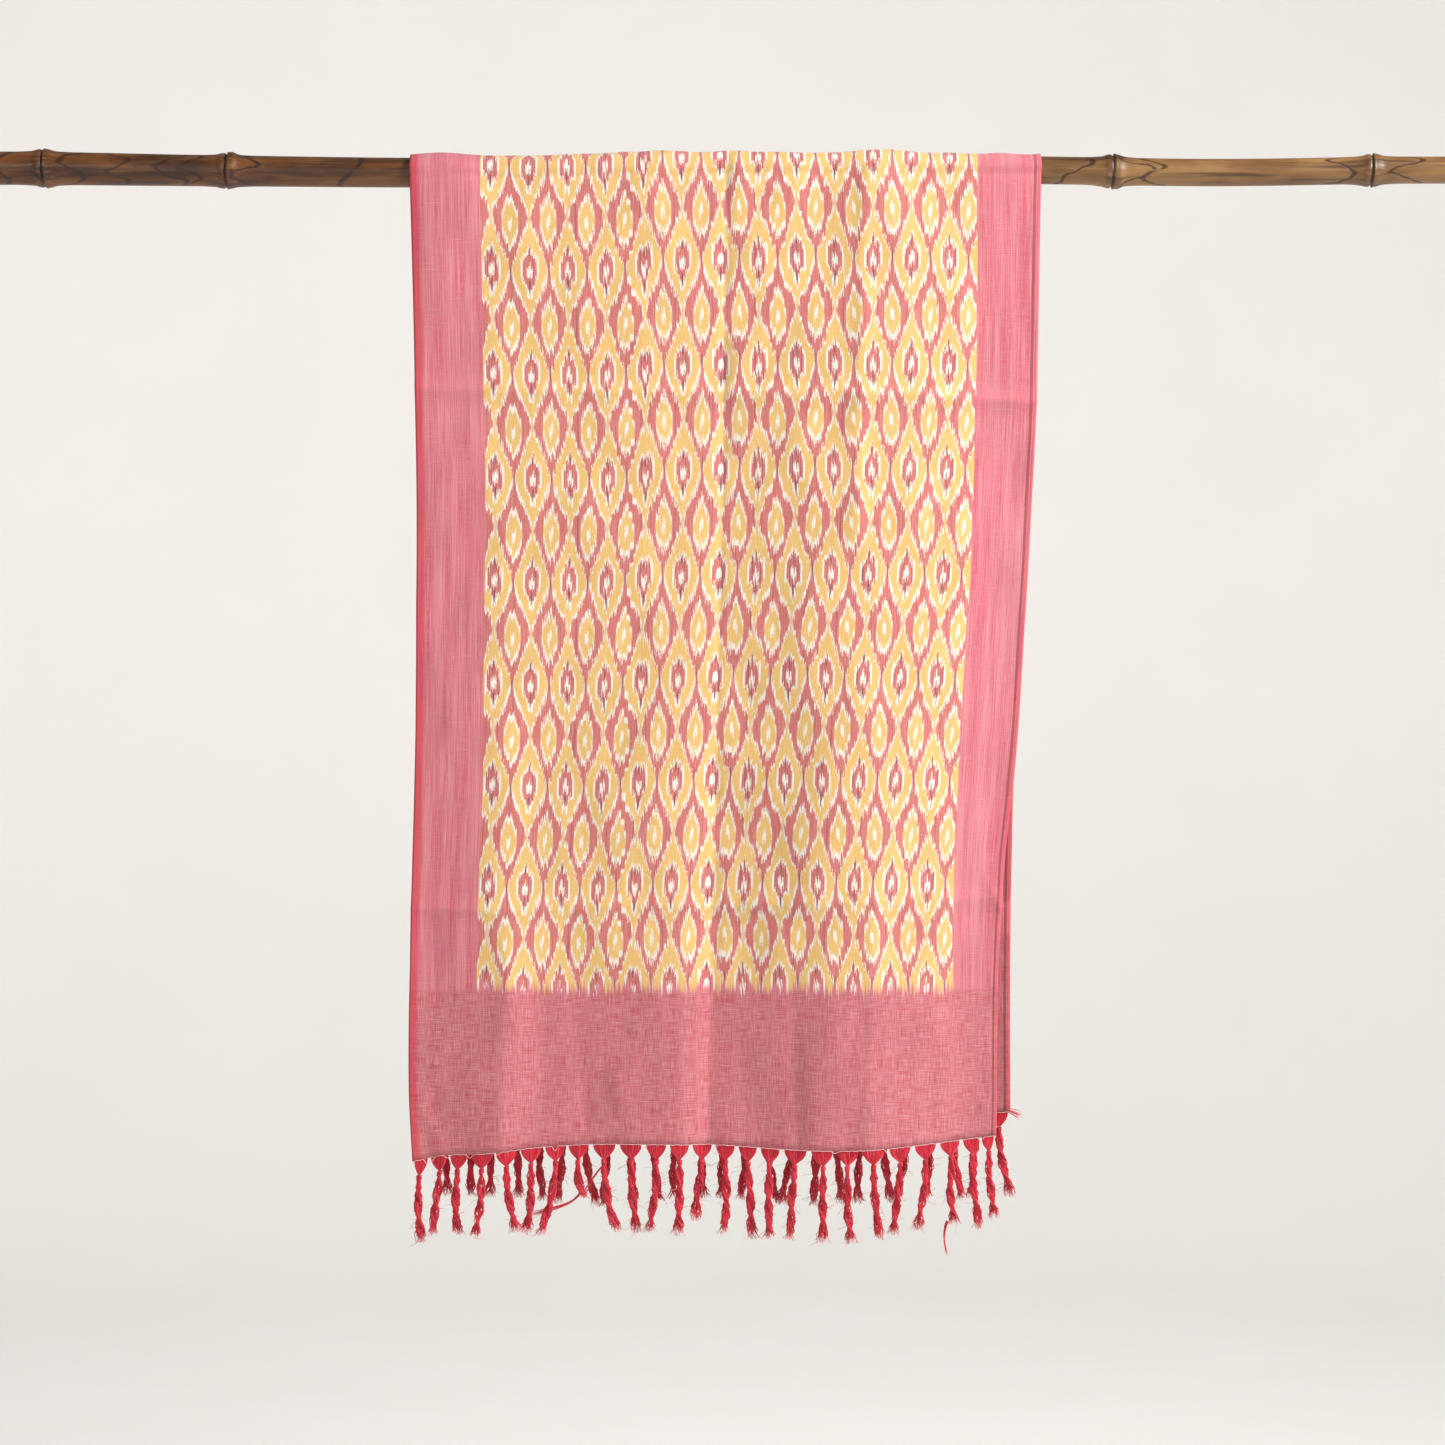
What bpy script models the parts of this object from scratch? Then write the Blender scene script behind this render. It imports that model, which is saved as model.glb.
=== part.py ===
"""A handwoven ikat stole hung over a bamboo pole, with knotted tassels at both ends.

Frame: metres, +X along the pole to the viewer's right, +Y away from the viewer, +Z up.
The origin is the middle of the pole's axis, which is where the object is held.
The stole is one length of cotton. It is built as its front fall, the bend over the
pole and its back fall, each a wall of its own, 0.3 mm apart.
"""

import math
from collections import namedtuple

import bmesh
import bpy
import numpy as np
from mathutils import Vector

# Driving dimensions
WALL = 0.0012
SEAM_GAP = 0.0003
HEM_GAP = 0.0004
POLE_CLEARANCE = 0.0006
POLE_LENGTH = 1.400
POLE_SIDES_RESOLUTION = 6
HANG_LEVEL = 0.0155
LEVEL_OFF_DROP = 0.150
ARC_STEPS = 8

# The pole: its axis wanders by a few millimetres, and it grows thinner to the right
AxisPoint = namedtuple("AxisPoint", "x height radius")
POLE_AXIS = (
    AxisPoint(-0.700, 0.0008, 0.0146),
    AxisPoint(-0.620, 0.0008, 0.0145),
    AxisPoint(-0.440, -0.0015, 0.0135),
    AxisPoint(-0.280, -0.0030, 0.0130),
    AxisPoint(-0.135, -0.0020, 0.0129),
    AxisPoint(0.030, 0.0000, 0.0128),
    AxisPoint(0.180, 0.0000, 0.0126),
    AxisPoint(0.285, -0.0010, 0.0124),
    AxisPoint(0.445, -0.0030, 0.0122),
    AxisPoint(0.610, -0.0008, 0.0121),
    AxisPoint(0.700, -0.0008, 0.0120),
)
POLE_NODES = (-0.603, -0.441, -0.251, -0.057, 0.142, 0.346, 0.5765)

# How far the skin of the pole stands out at each place beside a bamboo node
NodeStep = namedtuple("NodeStep", "along swell")
NODE_STEPS = (
    NodeStep(-0.0240, 0.0000),
    NodeStep(-0.0090, 0.0009),
    NodeStep(-0.0025, 0.0024),
    NodeStep(0.0000, 0.0014),
    NodeStep(0.0030, 0.0027),
    NodeStep(0.0100, 0.0010),
    NodeStep(0.0260, 0.0000),
)
CLOTH_SWELL = 0.0032
CLOTH_SWELL_REACH = 0.029

# The two long edges of each fall, from the pole down
EdgePlace = namedtuple("EdgePlace", "drop left right")
FRONT_EDGES = (
    EdgePlace(0.000, -0.2769, 0.2823),
    EdgePlace(0.117, -0.2738, 0.2800),
    EdgePlace(0.205, -0.2720, 0.2783),
    EdgePlace(0.294, -0.2707, 0.2741),
    EdgePlace(0.401, -0.2711, 0.2680),
    EdgePlace(0.543, -0.2725, 0.2582),
    EdgePlace(0.605, -0.2743, 0.2511),
    EdgePlace(0.703, -0.2767, 0.2449),
    EdgePlace(0.836, -0.2769, 0.2431),
    EdgePlace(0.881, -0.2743, 0.2423),
)
BACK_EDGES = (
    EdgePlace(0.000, -0.2769, 0.2823),
    EdgePlace(0.117, -0.2710, 0.2790),
    EdgePlace(0.294, -0.2660, 0.2720),
    EdgePlace(0.472, -0.2620, 0.2625),
    EdgePlace(0.580, -0.2600, 0.2593),
    EdgePlace(0.730, -0.2590, 0.2571),
    EdgePlace(0.855, -0.2570, 0.2575),
)

# How far below the pole's axis each hem hangs, from the left corner to the right one
HemPlace = namedtuple("HemPlace", "across drop")
FRONT_HEM = (
    HemPlace(0.00, 0.8805),
    HemPlace(0.05, 0.8750),
    HemPlace(0.11, 0.8735),
    HemPlace(0.22, 0.8677),
    HemPlace(0.49, 0.8650),
    HemPlace(0.65, 0.8686),
    HemPlace(0.75, 0.8690),
    HemPlace(0.90, 0.8637),
    HemPlace(1.00, 0.8584),
)
BACK_HEM = (
    HemPlace(0.00, 0.8380),
    HemPlace(0.12, 0.8420),
    HemPlace(0.30, 0.8510),
    HemPlace(0.40, 0.8440),
    HemPlace(0.68, 0.8490),
    HemPlace(0.82, 0.8470),
    HemPlace(1.00, 0.8400),
)

# Soft folds that run down each fall. A depth is how far the fold stands off the
# hanging plane, away from the pole, near the top, at half height and at the hem.
Fold = namedtuple("Fold", "top_x hem_x left_reach right_reach near_top middle at_hem")
FRONT_FOLDS = (
    Fold(0.128, 0.105, 0.115, 0.125, 0.0040, 0.0130, 0.0190),
    Fold(-0.030, -0.040, 0.110, 0.034, 0.0000, 0.0020, 0.0070),
    Fold(-0.185, -0.198, 0.075, 0.042, 0.0000, 0.0025, 0.0070),
    Fold(0.282, 0.243, 0.070, 0.070, -0.0015, -0.0045, -0.0070),
)
BACK_FOLDS = (
    Fold(-0.150, -0.130, 0.100, 0.090, 0.0020, 0.0090, 0.0150),
    Fold(0.020, 0.030, 0.080, 0.060, 0.0000, 0.0040, 0.0080),
    Fold(0.160, 0.150, 0.070, 0.110, 0.0025, 0.0080, 0.0120),
    Fold(-0.277, -0.257, 0.060, 0.060, -0.0010, -0.0030, -0.0050),
)
FOLD_STATIONS = (0.0, 0.12, 0.5, 1.0)

# Level creases from the time that the stole lay folded
PressedCrease = namedtuple("PressedCrease", "left_drop right_drop depth")
PRESSED_CREASES = (
    PressedCrease(0.195, 0.208, 0.0018),
    PressedCrease(0.657, 0.648, 0.0014),
)
CREASE_REACH = 0.016
OPEN_ROW = 0.050
CREASE_ROW = 0.012

# Knotted tassels
TASSEL_COUNT = 25
STRIP_HEIGHT = 0.0014
WEB_BETWEEN_ROOTS = 0.0012
ROOT_HEIGHT = 0.0125
KNOT_HEIGHT = 0.0046
KNOT_HALF_WIDTH = 0.0024
KNOT_HALF_DEPTH = 0.0019
NECK_SCALE = 0.78
KNOT_RINGS = ((0.5, 1.0), (1.0, NECK_SCALE))
GATHER_MIDWAY_WIDTH = 0.40
GATHER_HALF_DEPTH = 0.0011
LOCK_STATIONS = (0.12, 0.55, 1.00)
LOCK_SPREAD = (0.0018, 0.0032, 0.0036)
LOCK_TAPER = (0.95, 1.25, 0.50)
LOCK_LENGTHS = (1.00, 0.95, 0.98, 0.92)
LEAN_CURVE = 1.3

# Each front tassel: its knot's place across, how far its end sways, and its length
Tassel = namedtuple("Tassel", "knot lean length")
FRONT_TASSELS = (
    Tassel(-0.2685, -0.002, 0.073),
    Tassel(-0.2502, -0.008, 0.070),
    Tassel(-0.2345, -0.004, 0.071),
    Tassel(-0.2129, -0.004, 0.073),
    Tassel(-0.1907, 0.005, 0.071),
    Tassel(-0.1694, -0.003, 0.076),
    Tassel(-0.1476, -0.012, 0.078),
    Tassel(-0.1280, 0.002, 0.047),
    Tassel(-0.1049, 0.010, 0.077),
    Tassel(-0.0805, 0.003, 0.078),
    Tassel(-0.0582, -0.004, 0.077),
    Tassel(-0.0378, 0.001, 0.079),
    Tassel(-0.0182, -0.008, 0.067),
    Tassel(0.0027, 0.001, 0.078),
    Tassel(0.0227, 0.007, 0.082),
    Tassel(0.0413, -0.003, 0.080),
    Tassel(0.0636, -0.009, 0.079),
    Tassel(0.0885, -0.002, 0.081),
    Tassel(0.1098, 0.002, 0.081),
    Tassel(0.1329, 0.004, 0.079),
    Tassel(0.1565, -0.005, 0.077),
    Tassel(0.1791, -0.002, 0.076),
    Tassel(0.2022, 0.001, 0.074),
    Tassel(0.2210, 0.004, 0.080),
    Tassel(0.2362, 0.001, 0.072),
)
BACK_TASSEL_LENGTH = 0.075
BACK_SWAY = 0.006
BACK_SWAY_TURN = 2.4

# Colours of the pieces
BODY_COLOUR = (0.72, 0.40, 0.30, 1.0)
TASSEL_COLOUR = (0.42, 0.02, 0.04, 1.0)
BAMBOO_COLOUR = (0.30, 0.18, 0.09, 1.0)


def smooth_at(places, values, at):
    """Read a smooth curve through a few places: each span is a cubic with even slopes."""
    slopes = np.gradient(values, places)
    at = min(max(at, places[0]), places[-1])
    span = min(int(np.searchsorted(places, at, side="right")) - 1, len(places) - 2)
    width = places[span + 1] - places[span]
    t = (at - places[span]) / width
    start = (1 + 2 * t) * (1 - t) ** 2 * values[span] + t * (1 - t) ** 2 * width * slopes[span]
    end = t * t * (3 - 2 * t) * values[span + 1] + t * t * (t - 1) * width * slopes[span + 1]
    return float(start + end)


def column_at(table, place_name, value_name, at):
    """The smooth value of one column of a named table, at a place in another column."""
    places = [getattr(row, place_name) for row in table]
    values = [getattr(row, value_name) for row in table]
    return smooth_at(places, values, at)


def pole_height(x):
    """Height of the pole's wandering axis."""
    return column_at(POLE_AXIS, "x", "height", x)


def cloth_radius(x):
    """Radius of the cloth's middle layer over the pole: it tents over each node."""
    bare = column_at(POLE_AXIS, "x", "radius", x)
    nearest = min(abs(x - node) for node in POLE_NODES)
    bell = math.exp(-((nearest / CLOTH_SWELL_REACH) ** 2))
    return bare + CLOTH_SWELL * bell + POLE_CLEARANCE + WALL / 2


def fold_bump(x, centre, left_reach, right_reach):
    """A round-topped ridge, 1 at its centre and 0 past its reach on either side."""
    reach = left_reach if x < centre else right_reach
    share = abs(x - centre) / reach
    return 0.5 * (1 + math.cos(math.pi * share)) if share < 1 else 0.0


def fold_depth(folds, x, share_down):
    """How far the cloth stands off its hanging plane at a place on a fall."""
    depth = 0.0
    for fold in folds:
        centre = fold.top_x + (fold.hem_x - fold.top_x) * share_down
        height = smooth_at(FOLD_STATIONS, (0.0, fold.near_top, fold.middle, fold.at_hem), share_down)
        depth += height * fold_bump(x, centre, fold.left_reach, fold.right_reach)
    return depth


def crease_depth(across, drop):
    """How far the pressed creases stand out at a place on a fall."""
    depth = 0.0
    for crease in PRESSED_CREASES:
        line = crease.left_drop + (crease.right_drop - crease.left_drop) * across
        depth += crease.depth * fold_bump(drop, line, CREASE_REACH, CREASE_REACH)
    return depth


class Fall:
    """One hanging stretch of the cloth: side is -1 in front of the pole, +1 behind it."""

    def __init__(self, side, edges, hem, folds, tassels):
        self.side = side
        self.edges = edges
        self.hem = hem
        self.folds = folds
        self.tassels = tassels
        left, right = edges[-1].left, edges[-1].right
        middles = [(a.knot + b.knot) / 2 for a, b in zip(tassels, tassels[1:])]
        self.columns = [0.0] + [(middle - left) / (right - left) for middle in middles] + [1.0]

    def point(self, across, share_down):
        """Middle of the wall at a share of the width and a share of the way to the hem."""
        hem_drop = column_at(self.hem, "across", "drop", across)
        drop = share_down * hem_drop
        left = column_at(self.edges, "drop", "left", drop)
        right = column_at(self.edges, "drop", "right", drop)
        x = left + (right - left) * across
        leave = min(drop / LEVEL_OFF_DROP, 1.0)
        leave = leave * leave * (3 - 2 * leave)
        plane = cloth_radius(x) * (1 - leave) + HANG_LEVEL * leave
        stand = plane + fold_depth(self.folds, x, share_down) + crease_depth(across, drop)
        top = (pole_height(x) - SEAM_GAP) * (1 - share_down)
        return Vector((x, self.side * stand, top - drop))

    def hem_point(self, x):
        """The hem at a place along the pole's direction, on the cloth's own edge."""
        corners = [self.point(column, 1.0) for column in self.columns]
        places = [corner.x for corner in corners]
        depth = np.interp(x, places, [corner.y for corner in corners])
        height = np.interp(x, places, [corner.z for corner in corners])
        return Vector((x, float(depth), float(height)))


def back_tassels():
    """Evenly pitched tassels behind, each swaying a little its own way."""
    left = BACK_EDGES[-1].left
    pitch = (BACK_EDGES[-1].right - left) / TASSEL_COUNT
    made = []
    for index in range(TASSEL_COUNT):
        lean = BACK_SWAY * math.sin(BACK_SWAY_TURN * index)
        made.append(Tassel(left + (index + 0.5) * pitch, lean, BACK_TASSEL_LENGTH))
    return made


FRONT = Fall(-1, FRONT_EDGES, FRONT_HEM, FRONT_FOLDS, FRONT_TASSELS)
BACK = Fall(1, BACK_EDGES, BACK_HEM, BACK_FOLDS, back_tassels())


def material(name, colour, roughness):
    """A plain finish in one colour."""
    made = bpy.data.materials.new(name)
    made.use_nodes = True
    shader = made.node_tree.nodes["Principled BSDF"]
    shader.inputs["Base Color"].default_value = colour
    shader.inputs["Roughness"].default_value = roughness
    shader.inputs["Metallic"].default_value = 0.0
    return made


def add_object(name, data, finish, collection):
    """Put new data into the collection as one named piece."""
    piece = bpy.data.objects.new(name, data)
    data.materials.append(finish)
    collection.objects.link(piece)
    return piece


def row_shares(fall):
    """Rows down a fall: closer together where a pressed crease crosses it."""
    length = fall.hem[0].drop
    drops = [0.0]
    while drops[-1] < length:
        near = any(
            crease.left_drop - 2 * CREASE_REACH < drops[-1] < crease.left_drop + 2 * CREASE_REACH
            for crease in PRESSED_CREASES
        )
        drops.append(drops[-1] + (CREASE_ROW if near else OPEN_ROW))
    return [drop / drops[-1] for drop in drops]


def cloth_wall(name, columns, rows, place, finish, collection):
    """A grid bent to shape by the place function, with the wall added by Solidify."""
    mesh = bpy.data.meshes.new(name)
    shape = bmesh.new()
    bmesh.ops.create_grid(shape, x_segments=len(columns) - 1, y_segments=len(rows) - 1, size=0.5)
    for vert in shape.verts:
        column = round((vert.co.x + 0.5) * (len(columns) - 1))
        row = round((vert.co.y + 0.5) * (len(rows) - 1))
        vert.co = place(columns[column], rows[row])
    shape.to_mesh(mesh)
    shape.free()
    wall = add_object(name, mesh, finish, collection)
    thickness = wall.modifiers.new("wall", "SOLIDIFY")
    thickness.thickness = WALL
    thickness.offset = 0.0
    return wall


def over_pole_point(across, turn):
    """The bend over the pole: turn runs from 0 at the front to 1 at the back."""
    left, right = FRONT_EDGES[0].left, FRONT_EDGES[0].right
    x = left + (right - left) * across
    radius = cloth_radius(x)
    angle = math.pi * turn
    return Vector((x, -radius * math.cos(angle), pole_height(x) + radius * math.sin(angle)))


def build_pole(finish, collection):
    """A tube along the wandering axis whose radius swells at each node."""
    stations = [AxisPoint(-POLE_LENGTH / 2, 0.0, 0.0), AxisPoint(POLE_LENGTH / 2, 0.0, 0.0)]
    for node in POLE_NODES:
        for step in NODE_STEPS:
            stations.append(AxisPoint(node + step.along, 0.0, step.swell))
    middles = [(a + b) / 2 for a, b in zip(POLE_NODES, POLE_NODES[1:])]
    stations += [AxisPoint(middle, 0.0, 0.0) for middle in middles]
    stations.sort()
    curve = bpy.data.curves.new("bamboo_pole", "CURVE")
    curve.dimensions = "3D"
    curve.bevel_depth = 1.0
    curve.bevel_resolution = POLE_SIDES_RESOLUTION
    curve.use_fill_caps = True
    spline = curve.splines.new("POLY")
    spline.points.add(len(stations) - 1)
    for point, station in zip(spline.points, stations):
        point.co = (station.x, 0.0, pole_height(station.x), 1.0)
        point.radius = column_at(POLE_AXIS, "x", "radius", station.x) + station.radius
    return add_object("bamboo_pole", curve, finish, collection)


def hem_stations(tassels, left, right):
    """The left and right end of each tassel's root along the hem."""
    middles = [(a.knot + b.knot) / 2 for a, b in zip(tassels, tassels[1:])]
    starts = [left] + [middle + WEB_BETWEEN_ROOTS / 2 for middle in middles]
    ends = [middle - WEB_BETWEEN_ROOTS / 2 for middle in middles] + [right]
    return sorted(starts + ends)


def squeeze(face, centre, half_width, half_depth):
    """Set a four-cornered face to a level rectangle about a centre."""
    corners = sorted(face.verts, key=lambda vert: vert.co.x)
    for side, pair in ((-1, corners[:2]), (1, corners[2:])):
        pair.sort(key=lambda vert: vert.co.y)
        for away, vert in zip((-1, 1), pair):
            vert.co = centre + Vector((side * half_width, away * half_depth, 0.0))


def extrude_one(shape, face):
    """Pull one face out of a shape, and return the new face at its tip."""
    return bmesh.ops.extrude_discrete_faces(shape, faces=[face])["faces"][0]


def hang_locks(shape, neck, start, tassel):
    """Four three-sided locks that part below the neck and hang to the tassel's end."""
    pokes = bmesh.ops.poke(shape, faces=[neck])["faces"]
    pokes.sort(key=lambda face: tuple(face.calc_center_median()))
    hang = tassel.length - ROOT_HEIGHT - KNOT_HEIGHT
    for face, length in zip(pokes, LOCK_LENGTHS):
        away = face.calc_center_median() - start
        away.z = 0.0
        away.normalize()
        last_taper = 1.0
        for share, spread, taper in zip(LOCK_STATIONS, LOCK_SPREAD, LOCK_TAPER):
            face = extrude_one(shape, face)
            old = face.calc_center_median()
            new = start + away * spread
            new += Vector((tassel.lean * share**LEAN_CURVE, 0.0, -hang * length * share))
            for vert in face.verts:
                vert.co = new + (vert.co - old) * taper / last_taper
            last_taper = taper


def build_fringe(name, fall, finish, collection):
    """A narrow strip under the hem with one gathered and knotted tassel after another."""
    left = fall.edges[-1].left + WEB_BETWEEN_ROOTS
    right = fall.edges[-1].right - WEB_BETWEEN_ROOTS
    stations = hem_stations(fall.tassels, left, right)
    shape = bmesh.new()
    bmesh.ops.create_grid(shape, x_segments=len(stations) - 1, y_segments=1, size=0.5)
    for vert in shape.verts:
        column = round((vert.co.x + 0.5) * (len(stations) - 1))
        lower = STRIP_HEIGHT if vert.co.y < 0 else 0.0
        hem = fall.hem_point(stations[column])
        vert.co = hem + Vector((0.0, -WALL / 2, -HEM_GAP - lower))
    grown = bmesh.ops.extrude_face_region(shape, geom=shape.faces[:], use_keep_orig=True)
    backs = [item for item in grown["geom"] if isinstance(item, bmesh.types.BMVert)]
    bmesh.ops.translate(shape, verts=backs, vec=(0.0, WALL, 0.0))
    bmesh.ops.recalc_face_normals(shape, faces=shape.faces[:])
    underside = [face for face in shape.faces if face.normal.z < -0.7]
    underside.sort(key=lambda face: face.calc_center_median().x)
    for root, tassel in zip(underside[::2], fall.tassels):
        hem = fall.hem_point(tassel.knot)
        knot = hem + Vector((0.0, 0.0, -HEM_GAP - ROOT_HEIGHT))
        ends = [vert.co.x for vert in root.verts]
        middle = hem.lerp(knot, 0.5)
        middle.x = ((min(ends) + max(ends)) / 2 + knot.x) / 2
        half_width = (max(ends) - min(ends)) / 2
        face = extrude_one(shape, root)
        squeeze(face, middle, half_width * GATHER_MIDWAY_WIDTH, GATHER_HALF_DEPTH)
        face = extrude_one(shape, face)
        squeeze(face, knot, KNOT_HALF_WIDTH * NECK_SCALE, KNOT_HALF_DEPTH * NECK_SCALE)
        for share, scale in KNOT_RINGS:
            face = extrude_one(shape, face)
            centre = knot - Vector((0.0, 0.0, KNOT_HEIGHT * share))
            squeeze(face, centre, KNOT_HALF_WIDTH * scale, KNOT_HALF_DEPTH * scale)
        hang_locks(shape, face, centre, tassel)
    bmesh.ops.recalc_face_normals(shape, faces=shape.faces[:])
    mesh = bpy.data.meshes.new(name)
    shape.to_mesh(mesh)
    shape.free()
    return add_object(name, mesh, finish, collection)


def main():
    """Clear the scene and build the pole, the cloth and both fringes."""
    for item in list(bpy.data.objects):
        bpy.data.objects.remove(item, do_unlink=True)
    collection = bpy.data.collections.new("stole_on_bamboo_pole")
    bpy.context.scene.collection.children.link(collection)
    cotton = material("ikat_cotton", BODY_COLOUR, 0.85)
    yarn = material("tassel_yarn", TASSEL_COLOUR, 0.8)
    bamboo = material("bamboo", BAMBOO_COLOUR, 0.45)

    build_pole(bamboo, collection)
    turns = [step / ARC_STEPS for step in range(ARC_STEPS + 1)]
    cloth_wall("cloth_front_fall", FRONT.columns, row_shares(FRONT), FRONT.point, cotton, collection)
    cloth_wall("cloth_over_pole", FRONT.columns, turns, over_pole_point, cotton, collection)
    cloth_wall("cloth_back_fall", BACK.columns, row_shares(BACK), BACK.point, cotton, collection)
    build_fringe("fringe_front", FRONT, yarn, collection)
    build_fringe("fringe_back", BACK, yarn, collection)


main()
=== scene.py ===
# %% [markdown]
# # A handwoven ikat stole on a bamboo pole
#
# The stole is one length of cotton, folded over a pole so that half of it hangs in front
# and half behind. Its pattern was tied and dyed into the warp yarns before weaving, and the
# warp ends are gathered into knotted tassels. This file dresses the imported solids: it makes
# the cloth with its creases, the yarns of both fringes and the scorched bamboo, each with a
# procedural finish. Everything is in metres, with the pole along X and the viewer at -Y.

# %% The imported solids
import math
from collections import namedtuple

import bpy
import numpy as np
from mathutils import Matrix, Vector


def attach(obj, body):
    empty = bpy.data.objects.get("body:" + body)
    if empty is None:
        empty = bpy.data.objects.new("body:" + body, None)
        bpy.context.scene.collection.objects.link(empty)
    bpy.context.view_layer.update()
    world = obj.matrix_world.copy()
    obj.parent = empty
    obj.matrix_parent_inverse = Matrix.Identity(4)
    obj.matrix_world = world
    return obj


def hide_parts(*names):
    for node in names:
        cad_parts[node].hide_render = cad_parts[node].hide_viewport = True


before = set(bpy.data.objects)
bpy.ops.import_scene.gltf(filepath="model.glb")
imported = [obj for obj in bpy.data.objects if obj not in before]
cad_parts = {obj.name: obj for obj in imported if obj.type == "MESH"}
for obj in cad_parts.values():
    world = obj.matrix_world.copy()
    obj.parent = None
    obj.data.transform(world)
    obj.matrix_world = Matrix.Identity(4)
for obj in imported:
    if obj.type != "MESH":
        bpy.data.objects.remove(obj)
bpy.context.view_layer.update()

print("solids:", ", ".join(sorted(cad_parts)))

# %% [markdown]
# ## Where the camera stands
#
# The stole was looked at square on, from far enough away that it shows almost no
# perspective. A long lens three metres off gives that. The view is 1.285 m wide at the pole,
# and its middle is half way down the cloth.

# %% Camera
VIEW_WIDTH = 1.285
VIEW_MIDDLE = Vector((0.0, 0.0, -0.492))
VIEW_DISTANCE = 3.0
SENSOR = 36.0

camera_data = bpy.data.cameras.new("camera")
camera_data.sensor_width = SENSOR
camera_data.lens = SENSOR * VIEW_DISTANCE / VIEW_WIDTH
camera = bpy.data.objects.new("camera", camera_data)
camera.location = VIEW_MIDDLE - Vector((0.0, VIEW_DISTANCE, 0.0))
camera.rotation_euler = (math.pi / 2, 0.0, 0.0)
bpy.context.scene.collection.objects.link(camera)
bpy.context.scene.camera = camera
bpy.context.scene.view_settings.view_transform = "Standard"
print(f"camera: {camera_data.lens:.1f} mm lens, {VIEW_DISTANCE} m away")

# %% [markdown]
# ## Arithmetic for finishes
#
# A woven pattern is arithmetic on where a point lies on the cloth. Math nodes can do all of
# it, but wiring dozens of them by hand hides the sum. `Reading` wraps a node's output so that
# `a * b + c` makes and wires the nodes, and the cells below read like the pattern itself.

# %% Readings that wire their own nodes
class Reading:
    """A number that flows through a material's nodes, with plain arithmetic on it."""

    def __init__(self, socket):
        self.socket = socket

    def through(self, operation, *others):
        """The result of one Math node with this reading as its first number."""
        node = self.socket.id_data.nodes.new("ShaderNodeMath")
        node.operation = operation
        for slot, value in zip(node.inputs, (self,) + others):
            feed(slot, value)
        return Reading(node.outputs[0])

    def __add__(self, other):
        return self.through("ADD", other)

    def __sub__(self, other):
        return self.through("SUBTRACT", other)

    def __mul__(self, other):
        return self.through("MULTIPLY", other)

    def __truediv__(self, other):
        return self.through("DIVIDE", other)

    def __rsub__(self, other):
        return self * -1.0 + other

    __radd__ = __add__
    __rmul__ = __mul__


def feed(slot, value):
    """Give an input a fixed value, or wire a reading into it."""
    if isinstance(value, Reading):
        slot.id_data.links.new(value.socket, slot)
    else:
        slot.default_value = value


def soft_step(value, low, high):
    """0 below low, 1 above high, and a soft rise between them."""
    node = value.socket.id_data.nodes.new("ShaderNodeMapRange")
    node.interpolation_type = "SMOOTHSTEP"
    for slot, given in zip(node.inputs, (value, low, high, 0.0, 1.0)):
        feed(slot, given)
    return Reading(node.outputs[0])


def mixed(share, under, over):
    """A colour between two others."""
    node = share.socket.id_data.nodes.new("ShaderNodeMix")
    node.data_type = "RGBA"
    for index, given in ((0, share), (6, under), (7, over)):
        feed(node.inputs[index], given)
    return Reading(node.outputs[2])


def luck(value, seed):
    """A fixed random number from -1 to 1 for each whole number."""
    node = value.socket.id_data.nodes.new("ShaderNodeTexWhiteNoise")
    node.noise_dimensions = "1D"
    feed(node.inputs["W"], value + seed)
    return Reading(node.outputs["Value"]) * 2.0 - 1.0


def place(x, y, z):
    """A point from three readings or numbers, of which x is a reading."""
    node = x.socket.id_data.nodes.new("ShaderNodeCombineXYZ")
    for slot, given in zip(node.inputs, (x, y, z)):
        feed(slot, given)
    return Reading(node.outputs[0])


def clouds(where, scale, detail, roughness=0.5):
    """Smooth noise, about 0 to 1, at a point."""
    node = where.socket.id_data.nodes.new("ShaderNodeTexNoise")
    feed(node.inputs["Vector"], where)
    feed(node.inputs["Scale"], scale)
    feed(node.inputs["Detail"], detail)
    feed(node.inputs["Roughness"], roughness)
    return Reading(node.outputs[0])


def colour(red, green, blue):
    """A screen colour, 0 to 255 a channel, as the linear numbers that a shader needs."""
    linear = [((c / 255 + 0.055) / 1.055) ** 2.4 if c > 10 else c / 255 / 12.92
              for c in (red, green, blue)]
    return (*linear, 1.0)


SHEEN_ROUGHNESS = 0.4


def new_finish(name, roughness, sheen=0.0):
    """A material and its shader, with the values that are the same all over."""
    made = bpy.data.materials.new(name)
    made.use_nodes = True
    shader = made.node_tree.nodes["Principled BSDF"]
    shader.inputs["Roughness"].default_value = roughness
    shader.inputs["Sheen Weight"].default_value = sheen
    shader.inputs["Sheen Roughness"].default_value = SHEEN_ROUGHNESS
    return made, shader


def raise_surface(shader, height, distance):
    """Wire a height reading into the shader as bump."""
    node = shader.id_data.nodes.new("ShaderNodeBump")
    feed(node.inputs["Height"], height)
    node.inputs["Distance"].default_value = distance
    feed(shader.inputs["Normal"], Reading(node.outputs[0]))


print("helpers for finishes are ready")

# %% [markdown]
# ## The sizes that the stole and pole share
#
# The cloth bends over the pole, so both read the pole's wandering axis. The tables are the
# driving sizes of the solids: places are in metres from the middle of the pole, and a drop
# is measured down from its axis. A smooth cubic runs through each table.

# %% Tables of the pole and the cloth's edges
def rows_of(kind, columns, *rows):
    """A short table with named columns."""
    record = namedtuple(kind, columns)
    return tuple(record(*row) for row in rows)


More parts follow.
